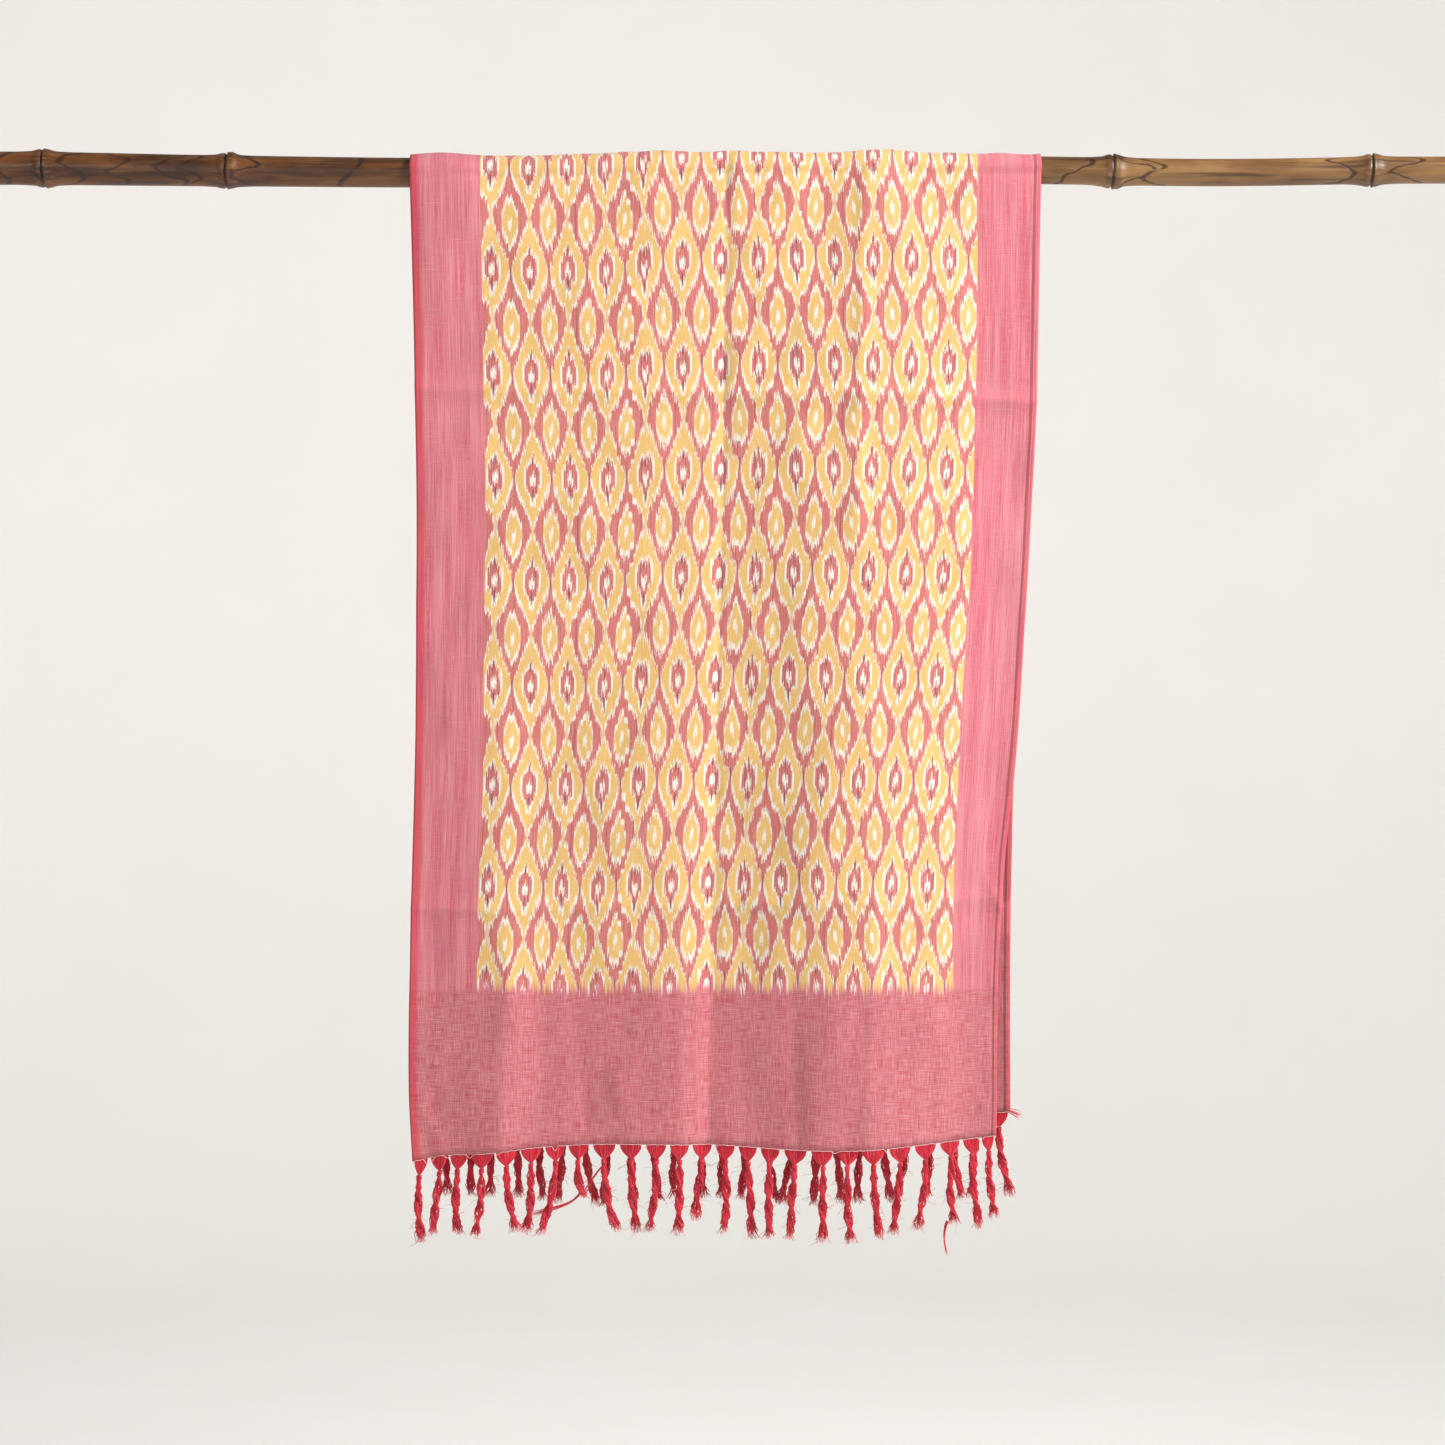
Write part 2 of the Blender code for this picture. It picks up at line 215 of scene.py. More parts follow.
POLE_AXIS = rows_of("AxisPoint", "x height radius",
    (-0.700, 0.0008, 0.0146), (-0.620, 0.0008, 0.0145), (-0.440, -0.0015, 0.0135),
    (-0.280, -0.0030, 0.0130), (-0.135, -0.0020, 0.0129), (0.030, 0.0000, 0.0128),
    (0.180, 0.0000, 0.0126), (0.285, -0.0010, 0.0124), (0.445, -0.0030, 0.0122),
    (0.610, -0.0008, 0.0121), (0.700, -0.0008, 0.0120))
POLE_NODES = (-0.603, -0.441, -0.251, -0.057, 0.142, 0.346, 0.5765)
FRONT_EDGES = rows_of("EdgePlace", "drop left right",
    (0.000, -0.2769, 0.2823), (0.117, -0.2738, 0.2800), (0.205, -0.2720, 0.2783),
    (0.294, -0.2707, 0.2741), (0.401, -0.2711, 0.2680), (0.543, -0.2725, 0.2582),
    (0.605, -0.2743, 0.2511), (0.703, -0.2767, 0.2449), (0.836, -0.2769, 0.2431),
    (0.881, -0.2743, 0.2423))
BACK_EDGES = rows_of("EdgePlace", "drop left right",
    (0.000, -0.2769, 0.2823), (0.117, -0.2710, 0.2790), (0.294, -0.2660, 0.2720),
    (0.472, -0.2620, 0.2625), (0.580, -0.2600, 0.2593), (0.730, -0.2590, 0.2571),
    (0.855, -0.2570, 0.2575))
FRONT_HEM = rows_of("HemPlace", "across drop",
    (0.00, 0.8805), (0.05, 0.8750), (0.11, 0.8735), (0.22, 0.8677), (0.49, 0.8650),
    (0.65, 0.8686), (0.75, 0.8690), (0.90, 0.8637), (1.00, 0.8584))
BACK_HEM = rows_of("HemPlace", "across drop",
    (0.00, 0.8380), (0.12, 0.8420), (0.30, 0.8510), (0.40, 0.8440), (0.68, 0.8490),
    (0.82, 0.8470), (1.00, 0.8400))
FOLD_COLUMNS = "top_x hem_x left_reach right_reach near_top middle at_hem"
FRONT_FOLDS = rows_of("Fold", FOLD_COLUMNS,
    (0.128, 0.105, 0.115, 0.125, 0.0040, 0.0130, 0.0190),
    (-0.030, -0.040, 0.110, 0.034, 0.0000, 0.0020, 0.0070),
    (-0.185, -0.198, 0.075, 0.042, 0.0000, 0.0025, 0.0070),
    (0.282, 0.243, 0.070, 0.070, -0.0015, -0.0045, -0.0070))
BACK_FOLDS = rows_of("Fold", FOLD_COLUMNS,
    (-0.150, -0.130, 0.100, 0.090, 0.0020, 0.0090, 0.0150),
    (0.020, 0.030, 0.080, 0.060, 0.0000, 0.0040, 0.0080),
    (0.160, 0.150, 0.070, 0.110, 0.0025, 0.0080, 0.0120),
    (-0.277, -0.257, 0.060, 0.060, -0.0010, -0.0030, -0.0050))
FOLD_STATIONS = (0.0, 0.12, 0.5, 1.0)
PRESSED_CREASES = rows_of("PressedCrease", "left_drop right_drop depth",
    (0.195, 0.208, 0.0018), (0.657, 0.648, 0.0014))
CREASE_REACH = 0.016
CLOTH_SWELL = 0.0032
CLOTH_SWELL_REACH = 0.029
POLE_CLEARANCE = 0.0006
SOLID_WALL = 0.0012
HANG_LEVEL = 0.0155
LEVEL_OFF_DROP = 0.150


def smooth_at(places, values, at):
    """Read a smooth curve through a few places: each span is a cubic with even slopes."""
    places, values = np.array(places), np.array(values)
    slopes = np.gradient(values, places)
    at = np.clip(at, places[0], places[-1])
    span = np.clip(np.searchsorted(places, at, side="right") - 1, 0, len(places) - 2)
    width = places[span + 1] - places[span]
    t = (at - places[span]) / width
    start = (1 + 2 * t) * (1 - t) ** 2 * values[span] + t * (1 - t) ** 2 * width * slopes[span]
    end = t * t * (3 - 2 * t) * values[span + 1] + t * t * (t - 1) * width * slopes[span + 1]
    return start + end


def column_at(table, place_name, value_name, at):
    """The smooth value of one column of a named table, at places in another column."""
    places = [getattr(row, place_name) for row in table]
    values = [getattr(row, value_name) for row in table]
    return smooth_at(places, values, at)


def pole_height(x):
    """Height of the pole's wandering axis."""
    return column_at(POLE_AXIS, "x", "height", x)


def cloth_radius(x):
    """Radius of the cloth's middle layer over the pole: it tents over each bamboo node."""
    bare = column_at(POLE_AXIS, "x", "radius", x)
    nearest = np.min([np.abs(x - node) for node in POLE_NODES], axis=0)
    bell = np.exp(-((nearest / CLOTH_SWELL_REACH) ** 2))
    return bare + CLOTH_SWELL * bell + POLE_CLEARANCE + SOLID_WALL / 2


def points_of(x, y, z):
    """Points from three arrays of numbers that may differ in size."""
    return np.stack(np.broadcast_arrays(x, y, z), axis=-1)


print(f"cloth over the pole: {cloth_radius(0.0) * 2000:.1f} mm across at the middle")

# %% [markdown]
# ## The cloth's hanging form
#
# A handloom cotton holds soft, long folds that start at the pole and deepen to the hem. The
# form could be simulated, but a simulation loses the photographed folds, so each fall is a
# plane that stands off by the folds of a small table: round-topped ridges of their own
# height and reach. A third stretch wraps the pole, and the three meet in one sheet.

# %% Form of the falls and of the bend over the pole
def fold_bump(x, centre, left_reach, right_reach):
    """A round-topped ridge, 1 at its centre and 0 past its reach on either side."""
    reach = np.where(x < centre, left_reach, right_reach)
    share = np.clip(np.abs(x - centre) / reach, 0, 1)
    return 0.5 * (1 + np.cos(math.pi * share))


def fold_depth(folds, x, share_down):
    """How far the cloth stands off its hanging plane."""
    depth = 0.0
    for fold in folds:
        centre = fold.top_x + (fold.hem_x - fold.top_x) * share_down
        heights = (0.0, fold.near_top, fold.middle, fold.at_hem)
        height = smooth_at(FOLD_STATIONS, heights, share_down)
        depth = depth + height * fold_bump(x, centre, fold.left_reach, fold.right_reach)
    return depth


def pressed_depth(across, drop):
    """How far the level pressed creases stand out."""
    depth = 0.0
    for crease in PRESSED_CREASES:
        line = crease.left_drop + (crease.right_drop - crease.left_drop) * across
        depth = depth + crease.depth * fold_bump(drop, line, CREASE_REACH, CREASE_REACH)
    return depth


def fall_points(side, edges, hem, folds, across, share_down):
    """Points of one fall, and how far down the cloth each lies. Side is -1 in front."""
    drop = share_down * column_at(hem, "across", "drop", across)
    left = column_at(edges, "drop", "left", drop)
    right = column_at(edges, "drop", "right", drop)
    x = left + (right - left) * across
    leave = np.clip(drop / LEVEL_OFF_DROP, 0, 1)
    leave = leave * leave * (3 - 2 * leave)
    plane = cloth_radius(x) * (1 - leave) + HANG_LEVEL * leave
    stand = plane + fold_depth(folds, x, share_down) + pressed_depth(across, drop)
    z = pole_height(x) * (1 - share_down) - drop
    return points_of(x, side * stand, z), drop


def bend_points(across, turn):
    """Points of the bend over the pole: turn runs from 0 in front to 1 behind."""
    left, right = FRONT_EDGES[0].left, FRONT_EDGES[0].right
    x = left + (right - left) * across
    radius = cloth_radius(x)
    y = -radius * np.cos(math.pi * turn)
    z = pole_height(x) + radius * np.sin(math.pi * turn)
    return points_of(x, y, z)


# %% Rows and columns of threads, closer where a crease is narrow
OPEN_STEP = 0.0066
CREASE_STEP = 0.0024
CREASE_BAND = 0.020
CREASE_DRIFT = 1.6
BEND_BAND = 0.012
COLUMN_STEP = 0.0046
FINE_COLUMN_STEP = 0.0022
CLOTH_WIDTH = FRONT_EDGES[0].right - FRONT_EDGES[0].left
FINE_COLUMNS = ((0.0, 0.010), (0.262, 0.286), (0.549, 0.560))
BEND_STEPS = 16
BEND_LENGTH = math.pi * float(np.mean(cloth_radius(np.linspace(-0.27, 0.27, 40))))


def march(length, step_at):
    """Shares from 0 to 1 along a length, with a step that depends on the place."""
    places = [0.0]
    while places[-1] < length:
        places.append(places[-1] + step_at(places[-1]))
    return np.array(places) / places[-1]


def row_step(drop):
    """A short step near the pole and at a pressed crease, which may drift down to the right."""
    near = any(crease.left_drop - CREASE_BAND < drop < crease.left_drop + CREASE_DRIFT * CREASE_BAND
               for crease in PRESSED_CREASES)
    return CREASE_STEP if near or drop < BEND_BAND else OPEN_STEP


def column_step(width):
    """A short step at both selvedges and at the storage crease down the middle."""
    near = any(start <= width <= end for start, end in FINE_COLUMNS)
    return FINE_COLUMN_STEP if near else COLUMN_STEP


columns = march(CLOTH_WIDTH, column_step)
front_rows = march(FRONT_HEM[4].drop, row_step)[::-1]
back_rows = march(BACK_HEM[4].drop, row_step)
bend_rows = np.linspace(0, 1, BEND_STEPS + 1)[1:-1]
front_part = fall_points(-1, FRONT_EDGES, FRONT_HEM, FRONT_FOLDS, columns[None, :], front_rows[:, None])
bend_part = bend_points(columns[None, :], bend_rows[:, None])
back_part = fall_points(1, BACK_EDGES, BACK_HEM, BACK_FOLDS, columns[None, :], back_rows[:, None])

# How far along the cloth each point lies: + is down the front, 0 at the pole, - behind
bend_down = -BEND_LENGTH * bend_rows[:, None] * np.ones_like(columns)[None, :]
sheet_points = np.concatenate([front_part[0], bend_part, back_part[0]])
down_cloth = np.concatenate([front_part[1], bend_down, -BEND_LENGTH - back_part[1]])
print(f"cloth grid: {len(columns)} columns, {len(sheet_points)} rows")

# %% [markdown]
# ## Creases from storage and handling
#
# The stole lay folded, so it keeps sharp pressed lines, and small diagonal ones where it was
# gripped. Each is a line drawn on the flat cloth with its own height and width. The height
# fades with distance from the line, which makes a crisp ridge or trough, and moves the cloth
# along its own normal. The hidden back gets lines of the same kinds in other places. A faint
# rumple keeps the stretches between them from lying quite flat, and no crease may press the
# cloth into the pole.

# %% Crease lines and a slight rumple
CREASE_LINES = rows_of("CreaseLine", "x_start down_start x_end down_end height width",
    # The long storage fold down the middle, a trough in front and a ridge behind
    (0.0040, -0.010, 0.0005, 0.250, -0.0012, 0.0040),
    (0.0005, 0.250, -0.0060, 0.560, -0.0011, 0.0040),
    (-0.0060, 0.560, -0.0129, 0.868, -0.0016, 0.0065),
    (0.0040, -0.035, 0.0010, -0.900, 0.0010, 0.0060),
    # Level pressed lines in front
    (-0.277, 0.1945, -0.060, 0.1990, 0.0008, 0.0030),
    (-0.060, 0.1990, 0.110, 0.2000, 0.0006, 0.0030),
    (0.110, 0.2000, 0.280, 0.2080, 0.0009, 0.0030),
    (-0.277, 0.6560, -0.210, 0.6570, 0.0008, 0.0028),
    (-0.210, 0.6570, 0.243, 0.6480, 0.0004, 0.0030),
    (0.216, 0.2860, 0.274, 0.2880, 0.0005, 0.0030),
    (0.038, 0.4223, 0.096, 0.4226, 0.0006, 0.0030),
    (0.042, 0.4543, 0.078, 0.4538, 0.0005, 0.0030),
    # Where the cloth leaves the pole: a lip, and a shallow hollow under it
    (-0.277, -0.0045, -0.165, -0.0020, 0.0007, 0.0026),
    (-0.165, -0.0020, 0.075, -0.0005, 0.0008, 0.0026),
    (0.075, -0.0020, 0.127, -0.0040, 0.0006, 0.0026),
    (0.158, -0.0015, 0.282, -0.0020, 0.0008, 0.0026),
    (-0.277, 0.0035, 0.127, 0.0060, -0.0007, 0.0045),
    (0.158, 0.0050, 0.282, 0.0050, -0.0007, 0.0045),
    # Ridges that sharpen the folds in the end panel
    (-0.190, 0.690, -0.195, 0.872, 0.0011, 0.0060),
    (0.134, 0.640, 0.129, 0.868, 0.0012, 0.0060),
    (0.127, 0.004, 0.118, 0.330, 0.0016, 0.0070),
    (0.060, 0.720, 0.066, 0.868, -0.0012, 0.0080),
    (-0.130, 0.760, -0.118, 0.868, -0.0010, 0.0090),
    # Handling marks at the front hem
    (-0.2680, 0.8277, -0.2467, 0.8748, 0.0014, 0.0028),
    (-0.2546, 0.7477, -0.2449, 0.7583, 0.0007, 0.0028),
    (-0.0831, 0.7521, -0.0751, 0.7610, 0.0008, 0.0026),
    (-0.0751, 0.7610, -0.0627, 0.7619, 0.0008, 0.0026),
    (-0.0751, 0.7619, -0.0813, 0.8099, 0.0006, 0.0026),
    (-0.0956, 0.8037, -0.0858, 0.8357, 0.0010, 0.0028),
    (-0.0858, 0.8357, -0.1178, 0.8463, -0.0008, 0.0028),
    (-0.0858, 0.8357, -0.0627, 0.8374, -0.0008, 0.0028),
    (0.2156, 0.8205, 0.2334, 0.8312, 0.0009, 0.0028),
    (0.2340, 0.6320, 0.2460, 0.6580, 0.0008, 0.0030),
    (0.2330, 0.7050, 0.2450, 0.7380, 0.0007, 0.0030),
    (-0.2480, 0.4240, -0.2130, 0.4330, 0.0005, 0.0030),
    # The hidden back
    (-0.271, -0.240, 0.279, -0.247, 0.0009, 0.0030),
    (-0.260, -0.705, 0.258, -0.698, 0.0008, 0.0030),
    (-0.220, -0.800, -0.190, -0.890, 0.0012, 0.0040),
    (0.120, -0.820, 0.150, -0.850, 0.0009, 0.0030),
    (0.090, -0.560, 0.130, -0.610, 0.0006, 0.0030),
    (-0.080, -0.130, -0.070, -0.420, 0.0010, 0.0070))
CREASE_CORE = 0.0005
CREASE_SCALE = 1.7
RUMPLE_SEED = 11
RUMPLE_WAVES = 26
RUMPLE_HEIGHT = 0.00070
SHORTEST_WAVE, LONGEST_WAVE = 0.035, 0.200
WAVE_TURN = 0.75
SKIN_GAP, POLE_REACH = 0.0010, 0.025


def line_height(line, x, down):
    """Height of the cloth near one crease line, highest on the line itself."""
    run_x = line.x_end - line.x_start
    run_down = line.down_end - line.down_start
    length = math.hypot(run_x, run_down)
    share = ((x - line.x_start) * run_x + (down - line.down_start) * run_down) / length**2
    held = np.clip(share, 0, 1)
    off_x = x - line.x_start - held * run_x
    off_down = down - line.down_start - held * run_down
    distance = np.sqrt(off_x**2 + off_down**2 + CREASE_CORE**2) - CREASE_CORE
    return CREASE_SCALE * line.height * np.exp(-distance / line.width)


def rumple(x, down):
    """Faint waves of many directions, so that no stretch is quite flat."""
    chance = np.random.default_rng(RUMPLE_SEED)
    height = np.zeros_like(x)
    for _ in range(RUMPLE_WAVES):
        wave = 2 * math.pi / chance.uniform(SHORTEST_WAVE, LONGEST_WAVE)
        heading = chance.normal(0.0, WAVE_TURN)
        phase = chance.uniform(0, 2 * math.pi)
        height += np.sin(wave * (x * math.cos(heading) + down * math.sin(heading)) + phase)
    return RUMPLE_HEIGHT * height / math.sqrt(RUMPLE_WAVES / 2)


def grid_normals(points):
    """Outward directions of a grid of points, from its two ways of running."""
    along_rows, along_columns = np.gradient(points, axis=(0, 1))
    normals = np.cross(along_columns, along_rows)
    return normals / np.linalg.norm(normals, axis=-1, keepdims=True)


def kept_off_pole(points):
    """The same points, with any that a crease pushed into the pole moved out to its skin."""
    x, y, height = points[..., 0], points[..., 1], points[..., 2] - pole_height(points[..., 0])
    least = cloth_radius(x) - SOLID_WALL / 2 - POLE_CLEARANCE + SKIN_GAP
    push = np.where(height > -POLE_REACH, np.maximum(least / np.hypot(y, height), 1.0), 1.0)
    return points_of(x, y * push, height * push + pole_height(x))


x_grid = sheet_points[..., 0]
proud = sum(line_height(line, x_grid, down_cloth) for line in CREASE_LINES)
proud = proud + rumple(x_grid, down_cloth)
sheet_points = kept_off_pole(sheet_points + grid_normals(sheet_points) * proud[..., None])
print(f"creases: {proud.min() * 1000:.1f} to {proud.max() * 1000:.1f} mm off the form")

# %% [markdown]
# ## The woven sheet
#
# The threads run along the cloth, so the pattern has to follow the flat cloth and not the
# room. The grid's own map holds millimetre-true places: how far across the loom width a
# point lies, and how far along the length. Solidify then gives the sheet its thickness and
# both faces keep the map, because a warp ikat shows the same colours on either side.

# %% The cloth as one thin sheet
THREAD_WALL = 0.0010
SELVEDGE_TO_SELVEDGE = 0.559
BODY_START = 0.0622
BODY_END = 0.5041
BODY_EDGES = rows_of("BodyPlace", "drop left right",
    (0.000, -0.2147, 0.2271), (0.165, -0.2118, 0.2262), (0.290, -0.2096, 0.2230),
    (0.385, -0.2105, 0.2190), (0.425, -0.2108, 0.2160), (0.535, -0.2116, 0.2100),
    (0.640, -0.2155, 0.2055), (0.735, -0.2174, 0.2049), (0.880, -0.2174, 0.2045))
ROW_SAG = 0.0045
ROW_SAG_REACH = 0.740


def loom_places(x, across, down):
    """Where each point lay on the loom: across the width, and along the length."""
    width = across * SELVEDGE_TO_SELVEDGE
    in_front = down > 0
    body_left = column_at(BODY_EDGES, "drop", "left", down)
    body_right = column_at(BODY_EDGES, "drop", "right", down)
    left = column_at(FRONT_EDGES, "drop", "left", down)
    right = column_at(FRONT_EDGES, "drop", "right", down)
    border = (x - left) / (body_left - left) * BODY_START
    body = BODY_START + (x - body_left) / (body_right - body_left) * (BODY_END - BODY_START)
    turned = BODY_END + (x - body_right) / (right - body_right) * (SELVEDGE_TO_SELVEDGE - BODY_END)
    front = np.where(x < body_left, border, np.where(x < body_right, body, turned))
    sag = ROW_SAG * np.sin(math.pi * down / ROW_SAG_REACH)
    return np.where(in_front, front, width), np.where(in_front, down - sag, down)


def grid_mesh(name, points, finish, places=None, closed_round=False):
    """A mesh from rows of points, with a map of each point's place if it is given."""
    rows, width = points.shape[:2]
    index = np.arange(rows * width).reshape(rows, width)
    if closed_round:
        index = np.concatenate([index, index[:, :1]], axis=1)
    corners = (index[:-1, :-1], index[:-1, 1:], index[1:, 1:], index[1:, :-1])
    faces = np.stack(corners, axis=-1).reshape(-1, 4)
    mesh = bpy.data.meshes.new(name)
    mesh.from_pydata(points.reshape(-1, 3).tolist(), [], faces.tolist())
    if places is not None:
        layer = mesh.uv_layers.new(name="weave")
        flat = np.stack(places, axis=-1).reshape(-1, 2)
        layer.uv.foreach_set("vector", flat[faces.ravel()].astype(np.float32).ravel())
    mesh.materials.append(finish)
    mesh.shade_smooth()
    made = bpy.data.objects.new(name, mesh)
    bpy.context.scene.collection.objects.link(made)
    return made


def settle(made):
    """Turn an object's modifiers into plain mesh."""
    graph = bpy.context.evaluated_depsgraph_get()
    mesh = bpy.data.meshes.new_from_object(made.evaluated_get(graph), depsgraph=graph)
    made.modifiers.clear()
    made.data = mesh
    return made


cotton, cotton_shader = new_finish("ikat_cotton", roughness=0.82, sheen=0.12)
loom = loom_places(sheet_points[..., 0], np.broadcast_to(columns, x_grid.shape), down_cloth)
stole = grid_mesh("stole_cloth", sheet_points, cotton, places=loom)
wall = stole.modifiers.new("thread thickness", "SOLIDIFY")
wall.thickness = THREAD_WALL
wall.offset = 0.0
settle(stole)

# %% [markdown]
# ## The ikat pattern
#
# In warp ikat, bundles of warp yarns are tied off and dyed before they go on the loom. Rows
# of pointed ovals, called ogees, alternate half a step apart: yellow ones with a red eye and
# red ones with a yellow eye. The bundles never line up quite, so every edge steps up and
# down and feathers. The pattern is therefore arithmetic on the loom place, and each bundle
# and thread slides along the length by its own chance. One set of warp was stretched on the
# loom a little higher than the next, so the rows step at one place across the width. All
# sizes here are in millimetres.

# %% Loom place, and how far each thread has slipped
OVAL_WIDTH = 33.9
OVAL_HEIGHT = 91.2
FIRST_EYE = 71.1
BUNDLE = OVAL_WIDTH / 19
THREAD = 0.55
BUNDLE_SLIP, THREAD_SLIP, HALF_OVAL_SLIP = 2.7, 3.8, 1.0
FIRST_ROW = -3.6
PANEL_JOIN = 137.0
JOIN_STEP, JOIN_STEP_FADE, LEAST_JOIN_STEP = 8.9, 0.0071, 3.9
BUNDLE_SQUARENESS = 0.7


def loom_reading(finish):
    """Across and along readings, in millimetres, from the piece's own map."""
    nodes = finish.node_tree.nodes
    chart = nodes.new("ShaderNodeUVMap")
    chart.uv_map = "weave"
    parts = nodes.new("ShaderNodeSeparateXYZ")
    feed(parts.inputs[0], Reading(chart.outputs[0]))
    return Reading(parts.outputs[0]) * 1000.0, Reading(parts.outputs[1]) * 1000.0


loom_across, loom_along = loom_reading(cotton)
across = loom_across - FIRST_EYE
bundle = (across / BUNDLE).through("ROUND")
thread = (across / THREAD).through("FLOOR")
half_oval = (across / (OVAL_WIDTH / 2)).through("ROUND")
slip = luck(bundle, 0.37) * BUNDLE_SLIP + luck(thread, 3.71) * THREAD_SLIP
slip = slip + luck(half_oval, 9.13) * HALF_OVAL_SLIP
past_join = across.through("GREATER_THAN", PANEL_JOIN)
join_step = (loom_along * -JOIN_STEP_FADE + JOIN_STEP).through("MAXIMUM", LEAST_JOIN_STEP)
along = loom_along + slip + past_join * join_step - FIRST_ROW
near_bundle = bundle * (BUNDLE_SQUARENESS * BUNDLE) + across * (1 - BUNDLE_SQUARENESS)
from_yellow = near_bundle.through("PINGPONG", OVAL_WIDTH / 2)
from_red = OVAL_WIDTH / 2 - from_yellow
print("threads slip by up to", BUNDLE_SLIP + THREAD_SLIP + HALF_OVAL_SLIP, "mm")

# %% The drawn figures
# Each pair is a distance from the row's middle, down positive, and the half width there
EDGE_BLUR = 0.5
WIDEST, NO_FIGURE = 18.0, -2.0
FIGURES = {
    "oval outline": ((-45.6, 1.3), (-40, 2.2), (-36, 3.9), (-30, 6.3), (-22, 8.9), (-16, 11.2),
                     (-8, 14.0), (-3, 15.9), (1, 16.1), (5, 15.9), (9, 15.2), (16, 13.1), (24, 9.9),
                     (32, 5.6), (36, 3.8), (39, 2.5), (45.6, 1.3)),
    "oval": ((-45.6, 0.3), (-40, 0.7), (-36, 2.2), (-30, 4.7), (-22, 7.6), (-16, 10.1), (-8, 13.1),
             (0, 15.6), (5, 14.5), (10, 12.6), (16, 10.8), (24, 7.5), (32, 4.1), (36, 2.2),
             (39, 0.8), (45.6, 0.3)),
    "eye halo": ((-22, -2), (-19, 1.4), (-15, 2.9), (-12, 5.2), (-8, 7.5), (-3, 8.3), (5, 8.4),
                 (9, 7.2), (13, 4.6), (18, 3.0), (24, 2.1), (27, -2)),
    "ring": ((-17, -2), (-15, 0.7), (-12, 2.9), (-8, 5.1), (-4, 6.3), (4, 6.6), (8, 5.9), (11, 4.5),
             (14, 2.9), (17, 1.3), (19.5, -2)),
    "ring core": ((-4.5, -2), (-2, 1.4), (1, 2.4), (4.5, 2.3), (7, 1.0), (8.5, -2)),
    "red eye outline": ((-24, -2), (-20.5, 0.8), (-15, 3.1), (-8, 5.7), (0, 7.6), (7, 7.7),
                        (14, 6.7), (20, 4.8), (25, 2.7), (29.5, -2)),
    "red eye": ((-17.5, -2), (-14, 1.2), (-8, 3.9), (-1, 6.2), (6, 6.8), (12, 5.5), (17, 3.4),
                (21, 1.2), (23, -2)),
    "red eye core": ((-3.5, -2), (0, 1.2), (4, 2.0), (8, 1.4), (11, -2)),
}


def row_distance(shift):
    """Signed distance along the warp from the nearest row of ovals that is shifted so."""
    return (along - shift).through("WRAP", OVAL_HEIGHT / 2, -OVAL_HEIGHT / 2)


def figure(name, distance, from_axis):
    """1 inside a drawn figure: a curve gives its half width at each distance from its row."""
    node = distance.socket.id_data.nodes.new("ShaderNodeFloatCurve")
    feed(node.inputs["Value"], distance / OVAL_HEIGHT + 0.5)
    points = node.mapping.curves[0].points
    drawn = [(place / OVAL_HEIGHT + 0.5, (half - NO_FIGURE) / WIDEST) for place, half in FIGURES[name]]
    if drawn[0][0] > 0:
        drawn = [(0.0, 0.0)] + drawn + [(1.0, 0.0)]
    points[0].location, points[1].location = drawn[0], drawn[-1]
    for spot in drawn[1:-1]:
        points.new(*spot)
    for point in points:
        point.handle_type = "AUTO_CLAMPED"
    node.mapping.update()
    half_width = Reading(node.outputs[0]) * WIDEST + NO_FIGURE
    return soft_step(half_width - from_axis, -EDGE_BLUR, EDGE_BLUR)


print("figures:", ", ".join(FIGURES))

# %% Dyes, laid on in the order that they cover each other
SALMON = colour(200, 100, 98)
SALMON_PALE = colour(212, 126, 118)
PLUM = colour(122, 48, 70)
MAIZE = colour(228, 181, 100)
MAIZE_PALE = colour(233, 193, 122)
UNDYED = colour(238, 232, 222)

yellow_row = row_distance(0.0)
red_row = row_distance(OVAL_HEIGHT / 2)
off_yellow = yellow_row.through("ABSOLUTE")
fleck = soft_step(luck(thread, 21.7) + luck(bundle, 5.3) * 0.5, 0.45, 0.9)
yarn_fade = clouds(place(loom_across * 1.4, loom_along * 0.05, 0.0), 1.0, 2.0)
red_dye = mixed(soft_step(yarn_fade, 0.35, 0.70), SALMON, SALMON_PALE)
yellow_dye = mixed(soft_step(yarn_fade, 0.35, 0.70), MAIZE, MAIZE_PALE)

# Plum marks the seam where two yellow ovals touch, the stem through each eye, and flecks
SEAM_HALF_WIDTH, SEAM_REACH = 0.82, 5.5
STEM_HALF_WIDTH, STEM_TOP, STEM_FOOT = 1.2, -18.0, 21.5
seam = soft_step(SEAM_HALF_WIDTH - from_red, -0.12, 0.12)
seam = seam * soft_step(SEAM_REACH - off_yellow, -2.5, 2.5)
dye = mixed(fleck * soft_step(luck(bundle, 2.9), -0.2, 0.6) * 0.45, red_dye, PLUM)
dye = mixed(figure("red eye outline", red_row, from_red), dye, UNDYED)
dye = mixed(figure("red eye", red_row, from_red), dye, yellow_dye)
dye = mixed(figure("red eye core", red_row, from_red), dye, UNDYED)
dye = mixed(figure("oval outline", yellow_row, from_yellow), dye, UNDYED)
dye = mixed(figure("oval", yellow_row, from_yellow), dye, yellow_dye)
dye = mixed(seam * 0.85, dye, PLUM)
dye = mixed(figure("eye halo", yellow_row, from_yellow), dye, UNDYED)
ring = figure("ring", yellow_row, from_yellow)
dye = mixed(ring, dye, red_dye)
dye = mixed(ring * fleck * 0.6, dye, PLUM)
stem = soft_step(STEM_HALF_WIDTH - from_yellow, -0.4, 0.4) * soft_step(off_yellow, 9.0, 13.0)
